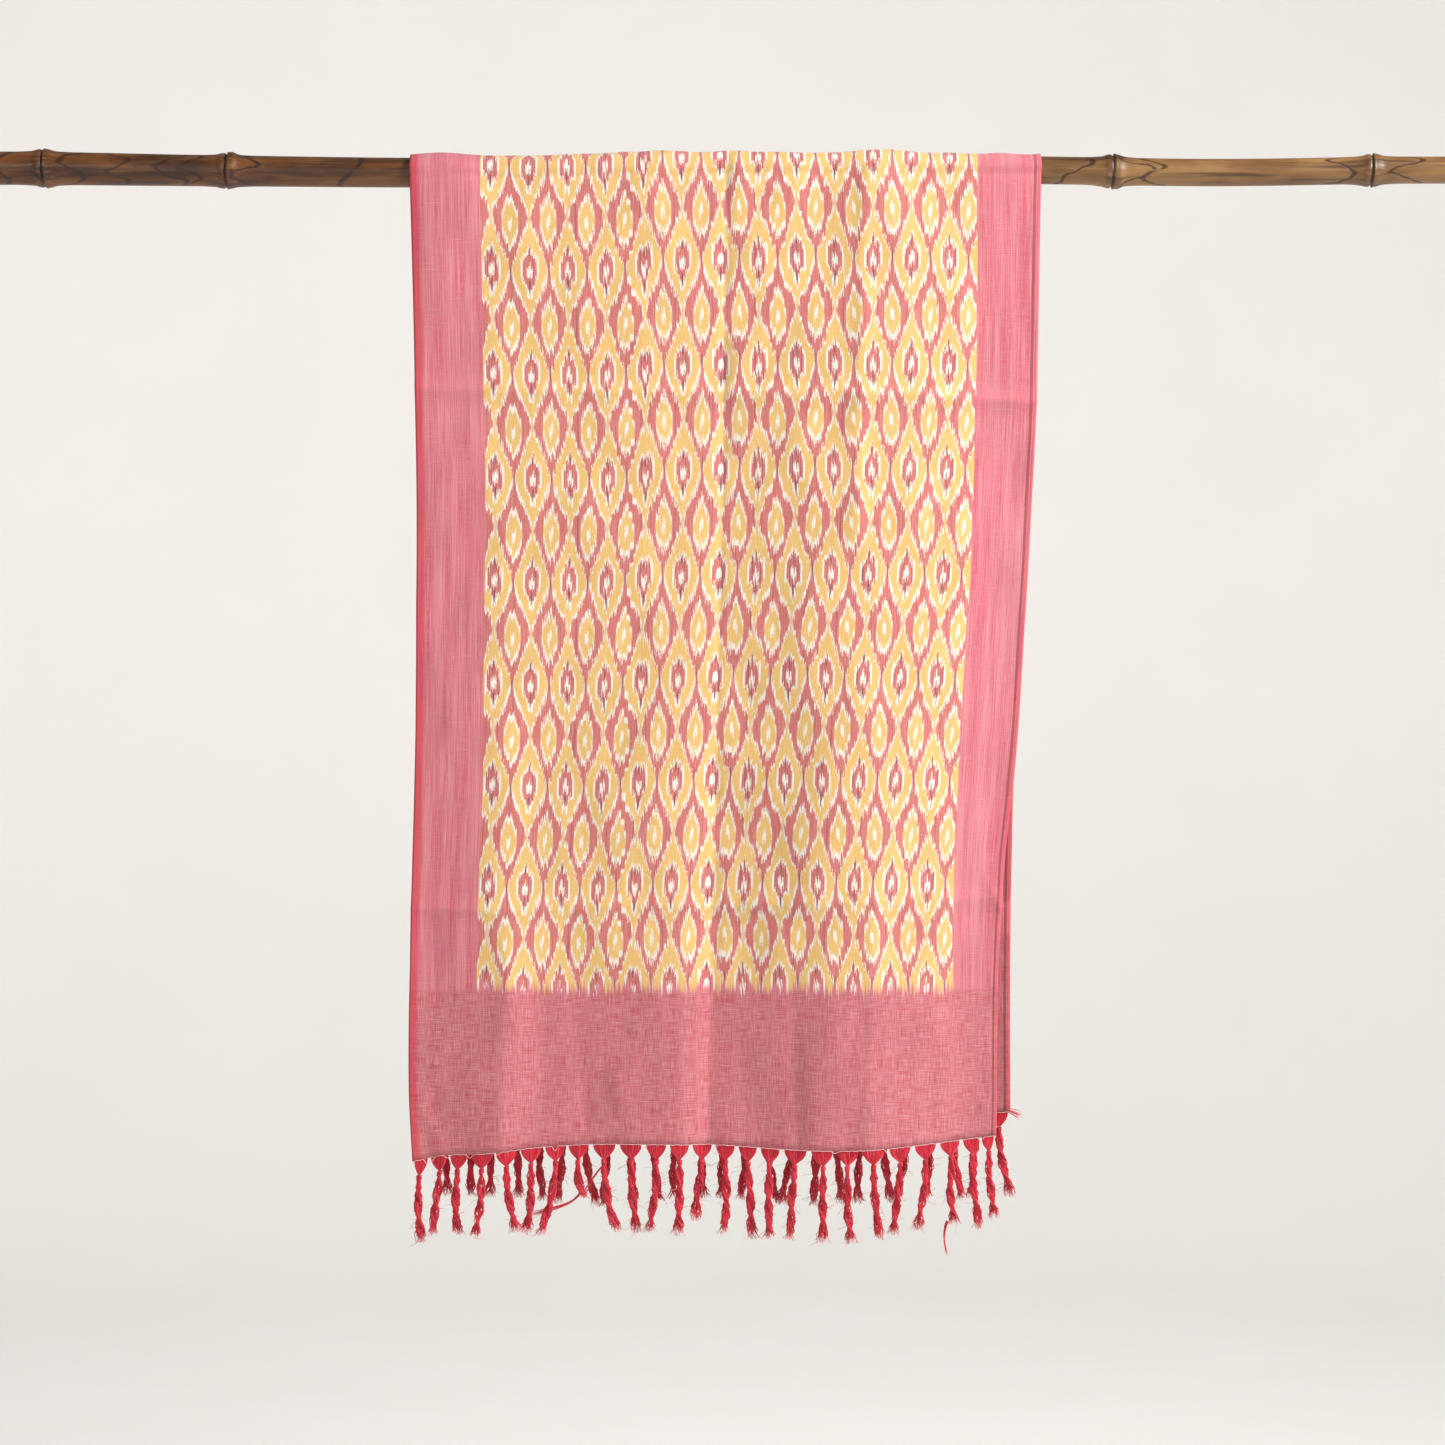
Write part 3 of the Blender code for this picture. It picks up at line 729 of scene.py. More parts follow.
stem = stem * soft_step(yellow_row - STEM_TOP, -2.0, 2.0)
stem = stem * soft_step(STEM_FOOT - yellow_row, -2.0, 2.0)
dye = mixed(stem * 0.85, dye, PLUM)
dye = mixed(figure("ring core", yellow_row, from_yellow), dye, UNDYED)
print("ovals:", OVAL_WIDTH, "by", OVAL_HEIGHT, "mm")

# %% [markdown]
# ## Borders, selvedges and end panels
#
# Round the pattern the warp and the fine grey weft cross as plain cloth. The side borders
# show warp streaks, the end panels a finer crosshatch with slubs, which are the thick places
# of handspun yarn. The loom's edges are denser: bright red on the left and dark on the right.
# Noise that is stretched along one thread direction gives streaks, and a row of narrow steps
# gives each stripe.

# %% Plain weave around the pattern
BODY_WIDTH = 13 * OVAL_WIDTH
BODY_LEFT = BODY_START * 1000
FRONT_BODY_LENGTH = 726.0
BACK_BODY_LENGTH = 715.0 + BEND_LENGTH * 1000
FEATHER = 4.0
BORDER_PINK = colour(200, 84, 104)
BORDER_PALE = colour(226, 147, 154)
PANEL_PINK = colour(182, 67, 80)
PANEL_GREY = colour(209, 141, 146)
SELVEDGE_RED = colour(206, 52, 72)
SELVEDGE_DARK = colour(120, 16, 34)
SLUB_PALE = colour(240, 180, 182)
PANEL_ROSE = colour(176, 48, 74)


def streaks(fine_across, fine_along, detail=3.0):
    """Noise with its own number of changes per millimetre each way."""
    return clouds(place(loom_across * fine_across, loom_along * fine_along, 0.0), 1.0, detail)


warp_streak = streaks(0.10, 0.004) * 0.40 + streaks(1.3, 0.016) * 0.60
fine_hatch = streaks(1.4, 0.07) * 0.5 + streaks(0.06, 1.3) * 0.5
border = mixed(soft_step(warp_streak, 0.34, 0.68), BORDER_PINK, BORDER_PALE)
border = mixed(soft_step(fine_hatch, 0.42, 0.66) * 0.50, border, PANEL_GREY)
panel = mixed(soft_step(fine_hatch, 0.36, 0.66), PANEL_PINK, PANEL_GREY)
panel = mixed(soft_step(warp_streak, 0.35, 0.70) * 0.35, panel, BORDER_PALE)

# Slubs: short thick stretches of warp and weft yarn, paler and darker than the rest
warp_slub = soft_step(streaks(1.7, 0.045, 1.0), 0.70, 0.76)
weft_slub = soft_step(streaks(0.035, 1.5, 1.0), 0.71, 0.77)
dark_slub = soft_step(streaks(0.9, 0.05, 1.0), 0.26, 0.20)
slubs = warp_slub.through("MAXIMUM", weft_slub)

in_body = soft_step(loom_across - BODY_LEFT, -0.3, 0.3)
in_body = in_body * soft_step(BODY_LEFT + BODY_WIDTH - loom_across, -0.3, 0.3)
over_front_end = soft_step(FRONT_BODY_LENGTH - (loom_along + slip * 1.3), -FEATHER, FEATHER)
over_back_end = soft_step(BACK_BODY_LENGTH + loom_along + slip * 1.3, -FEATHER, FEATHER)
in_length = over_front_end * over_back_end
past_pattern = soft_step(loom_along.through("ABSOLUTE") - FRONT_BODY_LENGTH, -2.0, 6.0)
ground = mixed(past_pattern, border, panel)
ground = mixed(slubs * 0.5, ground, SLUB_PALE)
ground = mixed(dark_slub * 0.35, ground, PANEL_ROSE)

# Selvedges: red on the left, and a dark line just inside a red edge on the right
LEFT_SELVEDGE, RIGHT_SELVEDGE = 7.5, 3.0
LINE_START, LINE_END = 3.9, 6.6
from_right = SELVEDGE_TO_SELVEDGE * 1000 - loom_across
ground = mixed(soft_step(LEFT_SELVEDGE - loom_across, -2.5, 2.5) * 0.70, ground, SELVEDGE_RED)
right_line = soft_step(from_right - LINE_START, -0.5, 0.5)
right_line = right_line * soft_step(LINE_END - from_right, -0.5, 0.5)
ground = mixed(right_line * 0.6, ground, SELVEDGE_DARK)
ground = mixed(soft_step(RIGHT_SELVEDGE - from_right, -0.8, 0.8) * 0.5, ground, SELVEDGE_RED)
print(f"pattern: {BODY_WIDTH:.0f} mm wide, {FRONT_BODY_LENGTH + BACK_BODY_LENGTH:.0f} mm long")

# %% Colour and thread relief of the cotton
body_fade = streaks(1.5, 0.03) * 0.6 + streaks(0.3, 0.9) * 0.4
faded = mixed(soft_step(body_fade, 0.42, 0.72) * 0.18, dye, UNDYED)
woven = mixed(in_body * in_length, ground, faded)
feed(cotton_shader.inputs["Base Color"], woven)

WEFT = 0.62
RELIEF = 0.00016
warp_rib = (loom_across * (2 * math.pi / THREAD)).through("SINE")
weft_rib = (loom_along * (2 * math.pi / WEFT)).through("SINE")
thickness = streaks(1.8, 0.05, 1.0) + streaks(0.05, 1.6, 1.0)
relief = warp_rib * weft_rib * 0.35 + thickness * 1.2 + slubs * 0.8
raise_surface(cotton_shader, relief, RELIEF)
print("cotton finish:", len(cotton.node_tree.nodes), "nodes")

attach(stole, "root")
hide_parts("cloth_front_fall", "cloth_over_pole", "cloth_back_fall")

# %% [markdown]
# ## The bamboo pole
#
# A dried bamboo culm is a tube with a solid plate at each node. Outside, each node has a
# sharp scar where the sheath sat, with a swelling on both sides. The pole is turned in
# effect: rings of points about a wandering axis, each ring with its own radius. It could be
# a curve with a bevel, but rings give the scar its sharp groove, the hollow sawn ends and a
# skin that is not quite round.

# %% Rings of the culm
POLE_LENGTH = 1.400
BORE_SHARE = 0.62
BORE_DEPTH = 0.045
RING_POINTS = 40
PLAIN_STEP = 0.009
NODE_STEP = 0.0008
NODE_REACH = 0.016
SWELLINGS = rows_of("Swelling", "along swell",
    (-0.0240, 0.0000), (-0.0150, 0.0004), (-0.0090, 0.0009), (-0.0025, 0.0024),
    (-0.0010, 0.0021), (-0.0004, 0.0010), (0.0003, 0.0010), (0.0009, 0.0026),
    (0.0030, 0.0027), (0.0060, 0.0021), (0.0100, 0.0010), (0.0180, 0.0003),
    (0.0260, 0.0000))
SCAR_TILT = 0.0011
BUD_RISE, BUD_LENGTH, BUD_HEIGHT = 0.006, 0.004, 0.00008
OVAL_SWELL = 0.18
SKIN_OVAL, SKIN_RIBS = 0.00016, 0.00007


def culm_places():
    """Places of the rings along the pole, close together at each node."""
    places = [-POLE_LENGTH / 2]
    while places[-1] < POLE_LENGTH / 2:
        near = min(abs(places[-1] - node) for node in POLE_NODES) < NODE_REACH
        places.append(places[-1] + (NODE_STEP if near else PLAIN_STEP))
    places[-1] = POLE_LENGTH / 2
    return np.array(places)


def culm_rings(x, angle):
    """The culm's skin: its radius with swellings, scars, buds, ribs and a slight oval."""
    radius = column_at(POLE_AXIS, "x", "radius", x)
    for number, node in enumerate(POLE_NODES):
        tilt = SCAR_TILT * np.sin(angle + 1.7 * number)
        swell = column_at(SWELLINGS, "along", "swell", x - node + tilt)
        oval = 1 + OVAL_SWELL * np.sin(2 * angle + number)
        bud = np.exp(-((x - node - BUD_RISE) / BUD_LENGTH) ** 2)
        bud = bud * (1 + np.cos(angle - 2.1 * number)) ** 4
        radius = radius + swell * oval + BUD_HEIGHT * bud
    return (radius + SKIN_OVAL * np.sin(2 * angle + 3 * x)
            + SKIN_RIBS * np.sin(9 * angle + 21 * x))


ring_x = culm_places()[:, None]
ring_angle = np.linspace(0, 2 * math.pi, RING_POINTS, endpoint=False)[None, :]
skin = culm_rings(ring_x, ring_angle)


def end_rings(side, x):
    """Rings from the sawn edge over the wall's face and down the bore to its plate."""
    edge = culm_rings(np.array([[x]]), ring_angle)
    inner = edge * BORE_SHARE
    steps = ((0.0, inner), (0.3, inner), (1.0, inner * 0.94), (1.0, inner * 0.02))
    return [(x - side * BORE_DEPTH * share, radius) for share, radius in steps]


all_rings = end_rings(-1, ring_x[0, 0])[::-1]
all_rings += [(x, row[None, :]) for x, row in zip(ring_x[:, 0], skin)]
all_rings += end_rings(1, ring_x[-1, 0])
culm_x = np.concatenate([np.full_like(ring_angle, x) for x, _ in all_rings])
culm_radius = np.concatenate([radius for _, radius in all_rings])
culm = points_of(culm_x, culm_radius * np.cos(ring_angle),
                 pole_height(culm_x) + culm_radius * np.sin(ring_angle))

bamboo, bamboo_shader = new_finish("scorched_bamboo", roughness=0.42)
pole = grid_mesh("bamboo_culm", culm, bamboo, closed_round=True)
pole.data.flip_normals()
print(f"pole: {len(culm)} rings, {len(POLE_NODES)} nodes")

# %% [markdown]
# ## Scorched bamboo
#
# The pole was waved over a flame, which leaves looping brown burn lines and toasts one end.
# Each burn line runs round the culm while it swings to and fro along it. A table gives its
# place, swing and number of waves, and soft noise makes it wander. Long fibres come from
# noise that is stretched along the pole, and each node is darker in its scar. Readings here
# are in metres, so a scale of 40 gives noise that changes every 25 mm.

# %% Bamboo finish
TOASTED = colour(62, 31, 11)
TOASTED_LIGHT = colour(116, 70, 29)
TAN = colour(104, 70, 36)
TAN_LIGHT = colour(141, 105, 63)
BURNT = colour(46, 22, 12)
DUSTY = colour(152, 130, 104)
BURN_LINES = rows_of("BurnLine", "x swing waves phase",
    (-0.640, 0.008, 3, 0.4), (-0.577, 0.011, 3, 1.2), (-0.536, 0.010, 4, 2.0),
    (-0.489, 0.014, 3, 0.2), (-0.472, 0.010, 4, 3.1), (-0.423, 0.012, 3, 4.4),
    (-0.330, 0.010, 2, 1.0), (0.312, 0.016, 2, 0.9), (0.367, 0.016, 3, 2.6),
    (0.382, 0.010, 4, 0.3), (0.548, 0.012, 3, 1.8), (0.606, 0.015, 3, 5.1),
    (0.655, 0.010, 4, 2.2))


def room_reading(finish):
    """Readings of a point's place on the piece, in metres."""
    nodes = finish.node_tree.nodes
    parts = nodes.new("ShaderNodeSeparateXYZ")
    feed(parts.inputs[0], Reading(nodes.new("ShaderNodeTexCoord").outputs["Object"]))
    return [Reading(slot) for slot in parts.outputs]


pole_x, pole_y, pole_z = room_reading(bamboo)
fibres = clouds(place(pole_x * 14.0, pole_y * 420.0, pole_z * 420.0), 1.0, 4.0, 0.6)
blotch = clouds(place(pole_x * 16.0, pole_y * 50.0, pole_z * 50.0), 1.0, 3.0)
wander = clouds(place(pole_x * 40.0, pole_y * 60.0, pole_z * 60.0), 1.0, 1.0) * 3.0
round_turn = pole_z.through("ARCTAN2", pole_y)
streak_field = clouds(place(pole_x * 5.0, pole_y * 150.0, pole_z * 150.0), 1.0, 2.0)
rightward = soft_step(pole_x, -0.45, 0.45)
dark_tone = mixed(soft_step(blotch, 0.3, 0.7), TOASTED, TOASTED_LIGHT)
light_tone = mixed(soft_step(blotch, 0.3, 0.7), TAN, TAN_LIGHT)
skin_tone = mixed(rightward, dark_tone, light_tone)
skin_tone = mixed(soft_step(fibres, 0.50, 0.72) * 0.45, skin_tone, TAN_LIGHT)
burns = None
for line in BURN_LINES:
    swing = (round_turn * line.waves + wander + line.phase).through("SINE") * line.swing
    near_line = soft_step((pole_x - line.x - swing).through("ABSOLUTE"), 0.0038, 0.0014)
    burns = near_line if burns is None else burns.through("MAXIMUM", near_line)
skin_tone = mixed(burns * soft_step(fibres, 0.25, 0.45) * 0.85, skin_tone, BURNT)
skin_tone = mixed(soft_step(streak_field, 0.55, 0.66) * 0.65, skin_tone, BURNT)
scar, node_shade = None, None
for node_x in POLE_NODES:
    off = (pole_x - node_x).through("ABSOLUTE")
    ring_line = soft_step(off, 0.0016, 0.0005)
    shade = soft_step(off, 0.020, 0.002)
    scar = ring_line if scar is None else scar.through("MAXIMUM", ring_line)
    node_shade = shade if node_shade is None else node_shade.through("MAXIMUM", shade)
skin_tone = mixed(node_shade * soft_step(fibres, 0.60, 0.40) * 0.35, skin_tone, BURNT)
skin_tone = mixed(node_shade * soft_step(fibres, 0.62, 0.75) * 0.5, skin_tone, DUSTY)
skin_tone = mixed(scar * 0.75, skin_tone, BURNT)
feed(bamboo_shader.inputs["Base Color"], skin_tone)
feed(bamboo_shader.inputs["Roughness"], fibres * 0.35 + 0.26)
raise_surface(bamboo_shader, fibres * 0.6 + burns * -0.5 + streak_field * 0.5, 0.0004)
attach(pole, "root")
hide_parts("bamboo_pole")
print("bamboo finish:", len(bamboo.node_tree.nodes), "nodes")

# %% [markdown]
# ## Tassels
#
# The warp ends past the last weft are gathered in bunches, knotted and left to hang. Each
# yarn is one line: it fans down from the hem to the knot, passes through it, and twists
# loosely with its neighbours in two plies that fray at the cut end. The lines are computed
# here, and a Geometry Nodes tree turns all of them into tapered yarns at once, because the
# same few settings then govern every one.

# %% Where each tassel hangs
HEM_GAP = 0.0004
ROOT_HEIGHT = 0.0125
KNOT_HEIGHT = 0.0046
ROOT_GAP = 0.0012
FRONT_TASSELS = rows_of("Tassel", "knot lean length",
    (-0.2685, -0.002, 0.073), (-0.2502, -0.008, 0.070), (-0.2345, -0.004, 0.071),
    (-0.2129, -0.004, 0.073), (-0.1907, 0.005, 0.071), (-0.1694, -0.003, 0.076),
    (-0.1476, -0.012, 0.078), (-0.1280, 0.002, 0.047), (-0.1049, 0.010, 0.077),
    (-0.0805, 0.003, 0.078), (-0.0582, -0.004, 0.077), (-0.0378, 0.001, 0.079),
    (-0.0182, -0.008, 0.067), (0.0027, 0.001, 0.078), (0.0227, 0.007, 0.082),
    (0.0413, -0.003, 0.080), (0.0636, -0.009, 0.079), (0.0885, -0.002, 0.081),
    (0.1098, 0.002, 0.081), (0.1329, 0.004, 0.079), (0.1565, -0.005, 0.077),
    (0.1791, -0.002, 0.076), (0.2022, 0.001, 0.074), (0.2210, 0.004, 0.080),
    (0.2362, 0.001, 0.072))
BACK_TASSEL_LENGTH = 0.075
BACK_SWAY = 0.006
BACK_SWAY_TURN = 2.4


def back_tassels():
    """Evenly pitched tassels behind, each swaying a little its own way."""
    left = BACK_EDGES[-1].left
    pitch = (BACK_EDGES[-1].right - left) / len(FRONT_TASSELS)
    return [type(FRONT_TASSELS[0])(left + (index + 0.5) * pitch,
                                   BACK_SWAY * math.sin(BACK_SWAY_TURN * index),
                                   BACK_TASSEL_LENGTH)
            for index in range(len(FRONT_TASSELS))]


def hem_reader(hem_row):
    """A function that gives the hem's point at any x, from the cloth's last row."""
    def hem_at(x):
        return np.array([x, np.interp(x, hem_row[:, 0], hem_row[:, 1]),
                         np.interp(x, hem_row[:, 0], hem_row[:, 2])])
    return hem_at


front_hem_at = hem_reader(sheet_points[0])
back_hem_at = hem_reader(sheet_points[-1])

# %% Routes of the yarns
YARNS = 38
YARN_RADIUS = 0.00040
HAIR_RADIUS = 0.00014
HAIRS = 7
NECK = 0.0010
TWIST_LENGTH = 0.046
SPREAD_STATIONS = (0.0, 0.12, 0.45, 0.80, 1.0)
BUNDLE_SPREAD = (0.0020, 0.0036, 0.0043, 0.0045, 0.0068)
ROOT_SHARE = 0.88
ROOT_POINTS, HANG_POINTS = 6, 9
SHORTEST_CUT = 0.16
FRAY_START, FRAY_SPREAD = 0.78, 0.0016
PLY_SPREAD, OWN_SPREAD, BUNDLE_FLATNESS = 0.45, 0.62, 0.75
Yarn = namedtuple("Yarn", "points width pale tone")


def bezier(start, leave, arrive, end, count):
    """Points along a cubic curve between two ends."""
    t = np.linspace(0, 1, count)[:, None]
    return ((1 - t) ** 3 * start + 3 * t * (1 - t) ** 2 * leave
            + 3 * t * t * (1 - t) * arrive + t**3 * end)


def bundle_line(knot_end, tassel, hang, chance):
    """The middle of a hanging bundle, as a function of the share of its length."""
    sway = chance.uniform(0.0010, 0.0028) * chance.choice((-1, 1))
    phase = chance.uniform(0.0, 1.2)
    forward = chance.normal(0.0, 0.0018)

    def line(t):
        x = tassel.lean * t**1.3 + sway * (np.sin(4.2 * t + phase) - math.sin(phase)) * t
        y = forward * t**1.5
        return knot_end + points_of(x, y, -hang * t)
    return line


def tassel_yarns(hem_at, tassel, left, right, chance):
    """All yarns of one tassel, its knot and a few stray fibres."""
    knot = hem_at(tassel.knot) + np.array([0.0, 0.0, -HEM_GAP - ROOT_HEIGHT])
    knot_end = knot - np.array([0.0, 0.0, KNOT_HEIGHT])
    hang = tassel.length - ROOT_HEIGHT - KNOT_HEIGHT
    line = bundle_line(knot_end, tassel, hang, chance)
    start_turn = chance.uniform(0, 2 * math.pi)
    made = []
    for number in range(YARNS):
        share = 0.5 + ROOT_SHARE * ((number + 0.5 + chance.uniform(-0.3, 0.3)) / YARNS - 0.5)
        x_start = left + (right - left) * share
        start = hem_at(x_start) + np.array([0.0, chance.uniform(-0.0003, 0.0003), -0.0002])
        reach = tassel.knot - x_start
        ring_turn = chance.uniform(0, 2 * math.pi)
        off = NECK * math.sqrt(chance.uniform()) * np.array(
            [math.cos(ring_turn), math.sin(ring_turn), 0.0])
        off[0] = 0.4 * off[0] - 0.6 * reach / max(right - left, 0.001) * 2 * NECK
        root = bezier(start, start + np.array([0.04 * reach, 0.0, -0.55 * ROOT_HEIGHT]),
                      knot + np.array([-0.34 * reach, 0.0, 0.24 * ROOT_HEIGHT]) + off,
                      knot + off, ROOT_POINTS)
        ply = number % 2
        length = 1.0 - SHORTEST_CUT * chance.uniform() ** 2
        t = np.linspace(0.0, 1.0, HANG_POINTS) * length
        turn = start_turn + ply * math.pi + 2 * math.pi * hang * t / TWIST_LENGTH
        spread = smooth_at(SPREAD_STATIONS, BUNDLE_SPREAD, t)
        own_turn = chance.uniform(0, 2 * math.pi) + 1.5 * turn
        own = math.sqrt(chance.uniform(0.02, 1.0)) * OWN_SPREAD
        fray = np.clip((t - FRAY_START) / (1.0 - FRAY_START), 0, 1) ** 2
        stray = chance.normal(0.0, FRAY_SPREAD, 2)
        side = spread * (PLY_SPREAD * np.cos(turn) + own * np.cos(own_turn))
        depth = spread * (PLY_SPREAD * np.sin(turn) + own * np.sin(own_turn)) * BUNDLE_FLATNESS
        body = line(t) + points_of(side + fray * stray[0], depth + fray * stray[1], 0.0)
        points = np.concatenate([root, body])
        taper = np.concatenate([np.full(ROOT_POINTS, 0.92), 1.06 - 0.12 * t - 0.45 * fray])
        width = YARN_RADIUS * taper
        pale = np.concatenate([np.zeros(ROOT_POINTS), t * length])
        made.append(Yarn(points, width, pale, chance.uniform()))
    made.append(knot_wrap(knot, chance))
    made += [stray_fibre(line, chance) for _ in range(HAIRS)]
    return made


WRAP_TURNS, WRAP_POINTS, WRAP_RADIUS = 2.6, 34, 0.00068
WRAP_HALF_WIDTH, WRAP_HALF_DEPTH, WRAP_SHARE, WRAP_TILT = 0.0020, 0.0017, 0.72, 0.0007


def knot_wrap(knot, chance):
    """The yarn that turns round the neck: two and a half tilted turns."""
    turn = np.linspace(0, WRAP_TURNS * 2 * math.pi, WRAP_POINTS)
    tilt = chance.uniform(0.5, 1.0) * WRAP_TILT
    middle = knot - np.array([0.0, 0.0, KNOT_HEIGHT / 2])
    down = (turn / turn[-1] - 0.5) * WRAP_SHARE * KNOT_HEIGHT
    down = down + tilt * np.sin(turn + chance.uniform(0, 6))
    points = middle + points_of(WRAP_HALF_WIDTH * np.cos(turn), WRAP_HALF_DEPTH * np.sin(turn), -down)
    return Yarn(points, np.full(WRAP_POINTS, WRAP_RADIUS), np.zeros(WRAP_POINTS), chance.uniform())


HAIR_POINTS, SHORTEST_HAIR, LONGEST_HAIR = 7, 0.004, 0.011


def stray_fibre(line, chance):
    """A thin curling fibre that stands away from a bundle."""
    start = chance.uniform(0.25, 0.98)
    t = np.linspace(0, 1, HAIR_POINTS)
    away = chance.choice((-1, 1)) * chance.uniform(SHORTEST_HAIR, LONGEST_HAIR)
    curl = chance.uniform(-1, 1) * 2.2
    x = away * t + 0.0018 * np.sin(curl + 4 * t)
    y = chance.normal(0.0, 0.002) * t
    z = chance.uniform(-0.010, 0.003) * t + 0.0015 * np.sin(3 * t + curl)
    points = line(np.full(HAIR_POINTS, start)) + points_of(x, y, z)
    return Yarn(points, np.full(HAIR_POINTS, HAIR_RADIUS), 0.8 + 0.2 * t, chance.uniform())


def fringe_yarns(hem_at, tassels, edges, seed):
    """Every yarn of one fringe, from the left corner of its hem to the right one."""
    chance = np.random.default_rng(seed)
    middles = [(a.knot + b.knot) / 2 for a, b in zip(tassels, tassels[1:])]
    lefts = [edges[-1].left + ROOT_GAP] + [middle + ROOT_GAP / 2 for middle in middles]
    rights = [middle - ROOT_GAP / 2 for middle in middles] + [edges[-1].right - ROOT_GAP]
    made = []
    for tassel, left, right in zip(tassels, lefts, rights):
        made += tassel_yarns(hem_at, tassel, left, right, chance)
    return made


# %% Hem thread with its loops, and locks that have strayed from their bundles
HEM_LOOPS = rows_of("Loop", "x drop",
    (-0.2614, 0.005), (-0.2572, 0.004), (-0.2430, 0.003), (-0.2230, 0.003), (-0.1990, 0.002),
    (-0.1480, 0.004), (-0.1160, 0.002), (-0.0690, 0.003), (-0.0060, 0.002), (0.0520, 0.003),
    (0.0990, 0.002), (0.1450, 0.003), (0.1905, 0.002), (0.2290, 0.003))
FRONT_LOCKS = rows_of("Lock", "x0 z0 x1 z1 x2 z2 x3 z3 yarns",
    (-0.1262, -0.9070, -0.1275, -0.9165, -0.1460, -0.9220, -0.1680, -0.9265, 9),
    (-0.1048, -0.8830, -0.1120, -0.8900, -0.1180, -0.9000, -0.1215, -0.9090, 4),
    (0.1990, -0.9330, 0.1950, -0.9420, 0.1945, -0.9530, 0.1985, -0.9630, 5))
BACK_LOCKS = rows_of("Lock", "x0 z0 x1 z1 x2 z2 x3 z3 yarns",
    (0.2490, -0.8395, 0.2540, -0.8385, 0.2600, -0.8410, 0.2665, -0.8450, 8))


HEM_THREAD_POINTS, HEM_THREAD_RADIUS, HEM_THREAD_STAND = 420, 0.00028, 0.0009
LOOP_REACH = 0.0035
LOCK_POINTS, LOCK_SPREAD, LOCK_FAN = 12, 0.0006, 0.0015


def hem_thread(hem_at, edges, chance):
    """The last weft thread along a hem; it drops in a small loop between some roots."""
    x = np.linspace(edges[-1].left + 0.001, edges[-1].right - 0.001, HEM_THREAD_POINTS)
    points = np.array([hem_at(each) for each in x])
    points[:, 1] -= HEM_THREAD_STAND
    points[:, 2] += 0.0002 * np.sin(x * 900.0)
    for loop in HEM_LOOPS:
        near = np.clip(1.0 - np.abs(x - loop.x) / LOOP_REACH, 0.0, 1.0)
        points[:, 2] -= loop.drop * near**2 * (3.0 - 2.0 * near)
    return Yarn(points, np.full(len(x), HEM_THREAD_RADIUS), np.ones(len(x)), chance.uniform(0.6, 0.9))


def lock_yarns(lock, depth, chance):
    """A few yarns that leave their bundle together and spread towards their ends."""
    corners = [np.array([lock[step], depth, lock[step + 1]]) for step in (0, 2, 4, 6)]
    made = []
    for _ in range(lock.yarns):
        shift = chance.normal(0.0, 1.0, 3) * LOCK_SPREAD
        fan = chance.normal(0.0, LOCK_FAN, 3)
        points = bezier(corners[0] + shift, corners[1] + shift, corners[2] + shift + 0.5 * fan,
                        corners[3] + shift + fan, LOCK_POINTS)
        t = np.linspace(0, 1, LOCK_POINTS)
        width = YARN_RADIUS * (1.0 - 0.4 * t**3)
        made.append(Yarn(points, width, 0.35 + 0.62 * t, chance.uniform()))
    return made


def loose_ends(hem_at, edges, locks, seed):
    """The hem thread and every strayed lock of one fringe."""
    chance = np.random.default_rng(seed)
    depth = hem_at(0.0)[1]
    made = [hem_thread(hem_at, edges, chance)]
    for lock in locks:
        made += lock_yarns(lock, depth, chance)
    return made


FRONT_YARN_SEED, BACK_YARN_SEED, FRONT_LOOSE_SEED, BACK_LOOSE_SEED = 5, 8, 21, 22
front_yarns = fringe_yarns(front_hem_at, FRONT_TASSELS, FRONT_EDGES, FRONT_YARN_SEED)
front_yarns += loose_ends(front_hem_at, FRONT_EDGES, FRONT_LOCKS, FRONT_LOOSE_SEED)
back_yarns = fringe_yarns(back_hem_at, back_tassels(), BACK_EDGES, BACK_YARN_SEED)
back_yarns += loose_ends(back_hem_at, BACK_EDGES, BACK_LOCKS, BACK_LOOSE_SEED)
print(f"yarns: {len(front_yarns)} in front, {len(back_yarns)} behind")

# %% [markdown]
# ## One tree that spins every yarn
#
# The tree takes bare lines, wobbles them slightly as soft cotton does, gives each point the
# thickness stored on it and sweeps a small section along. Inputs hold the sizes, and the
# stored thickness lets one tree make fringe yarns, knot wraps, hem threads and stray fibres.

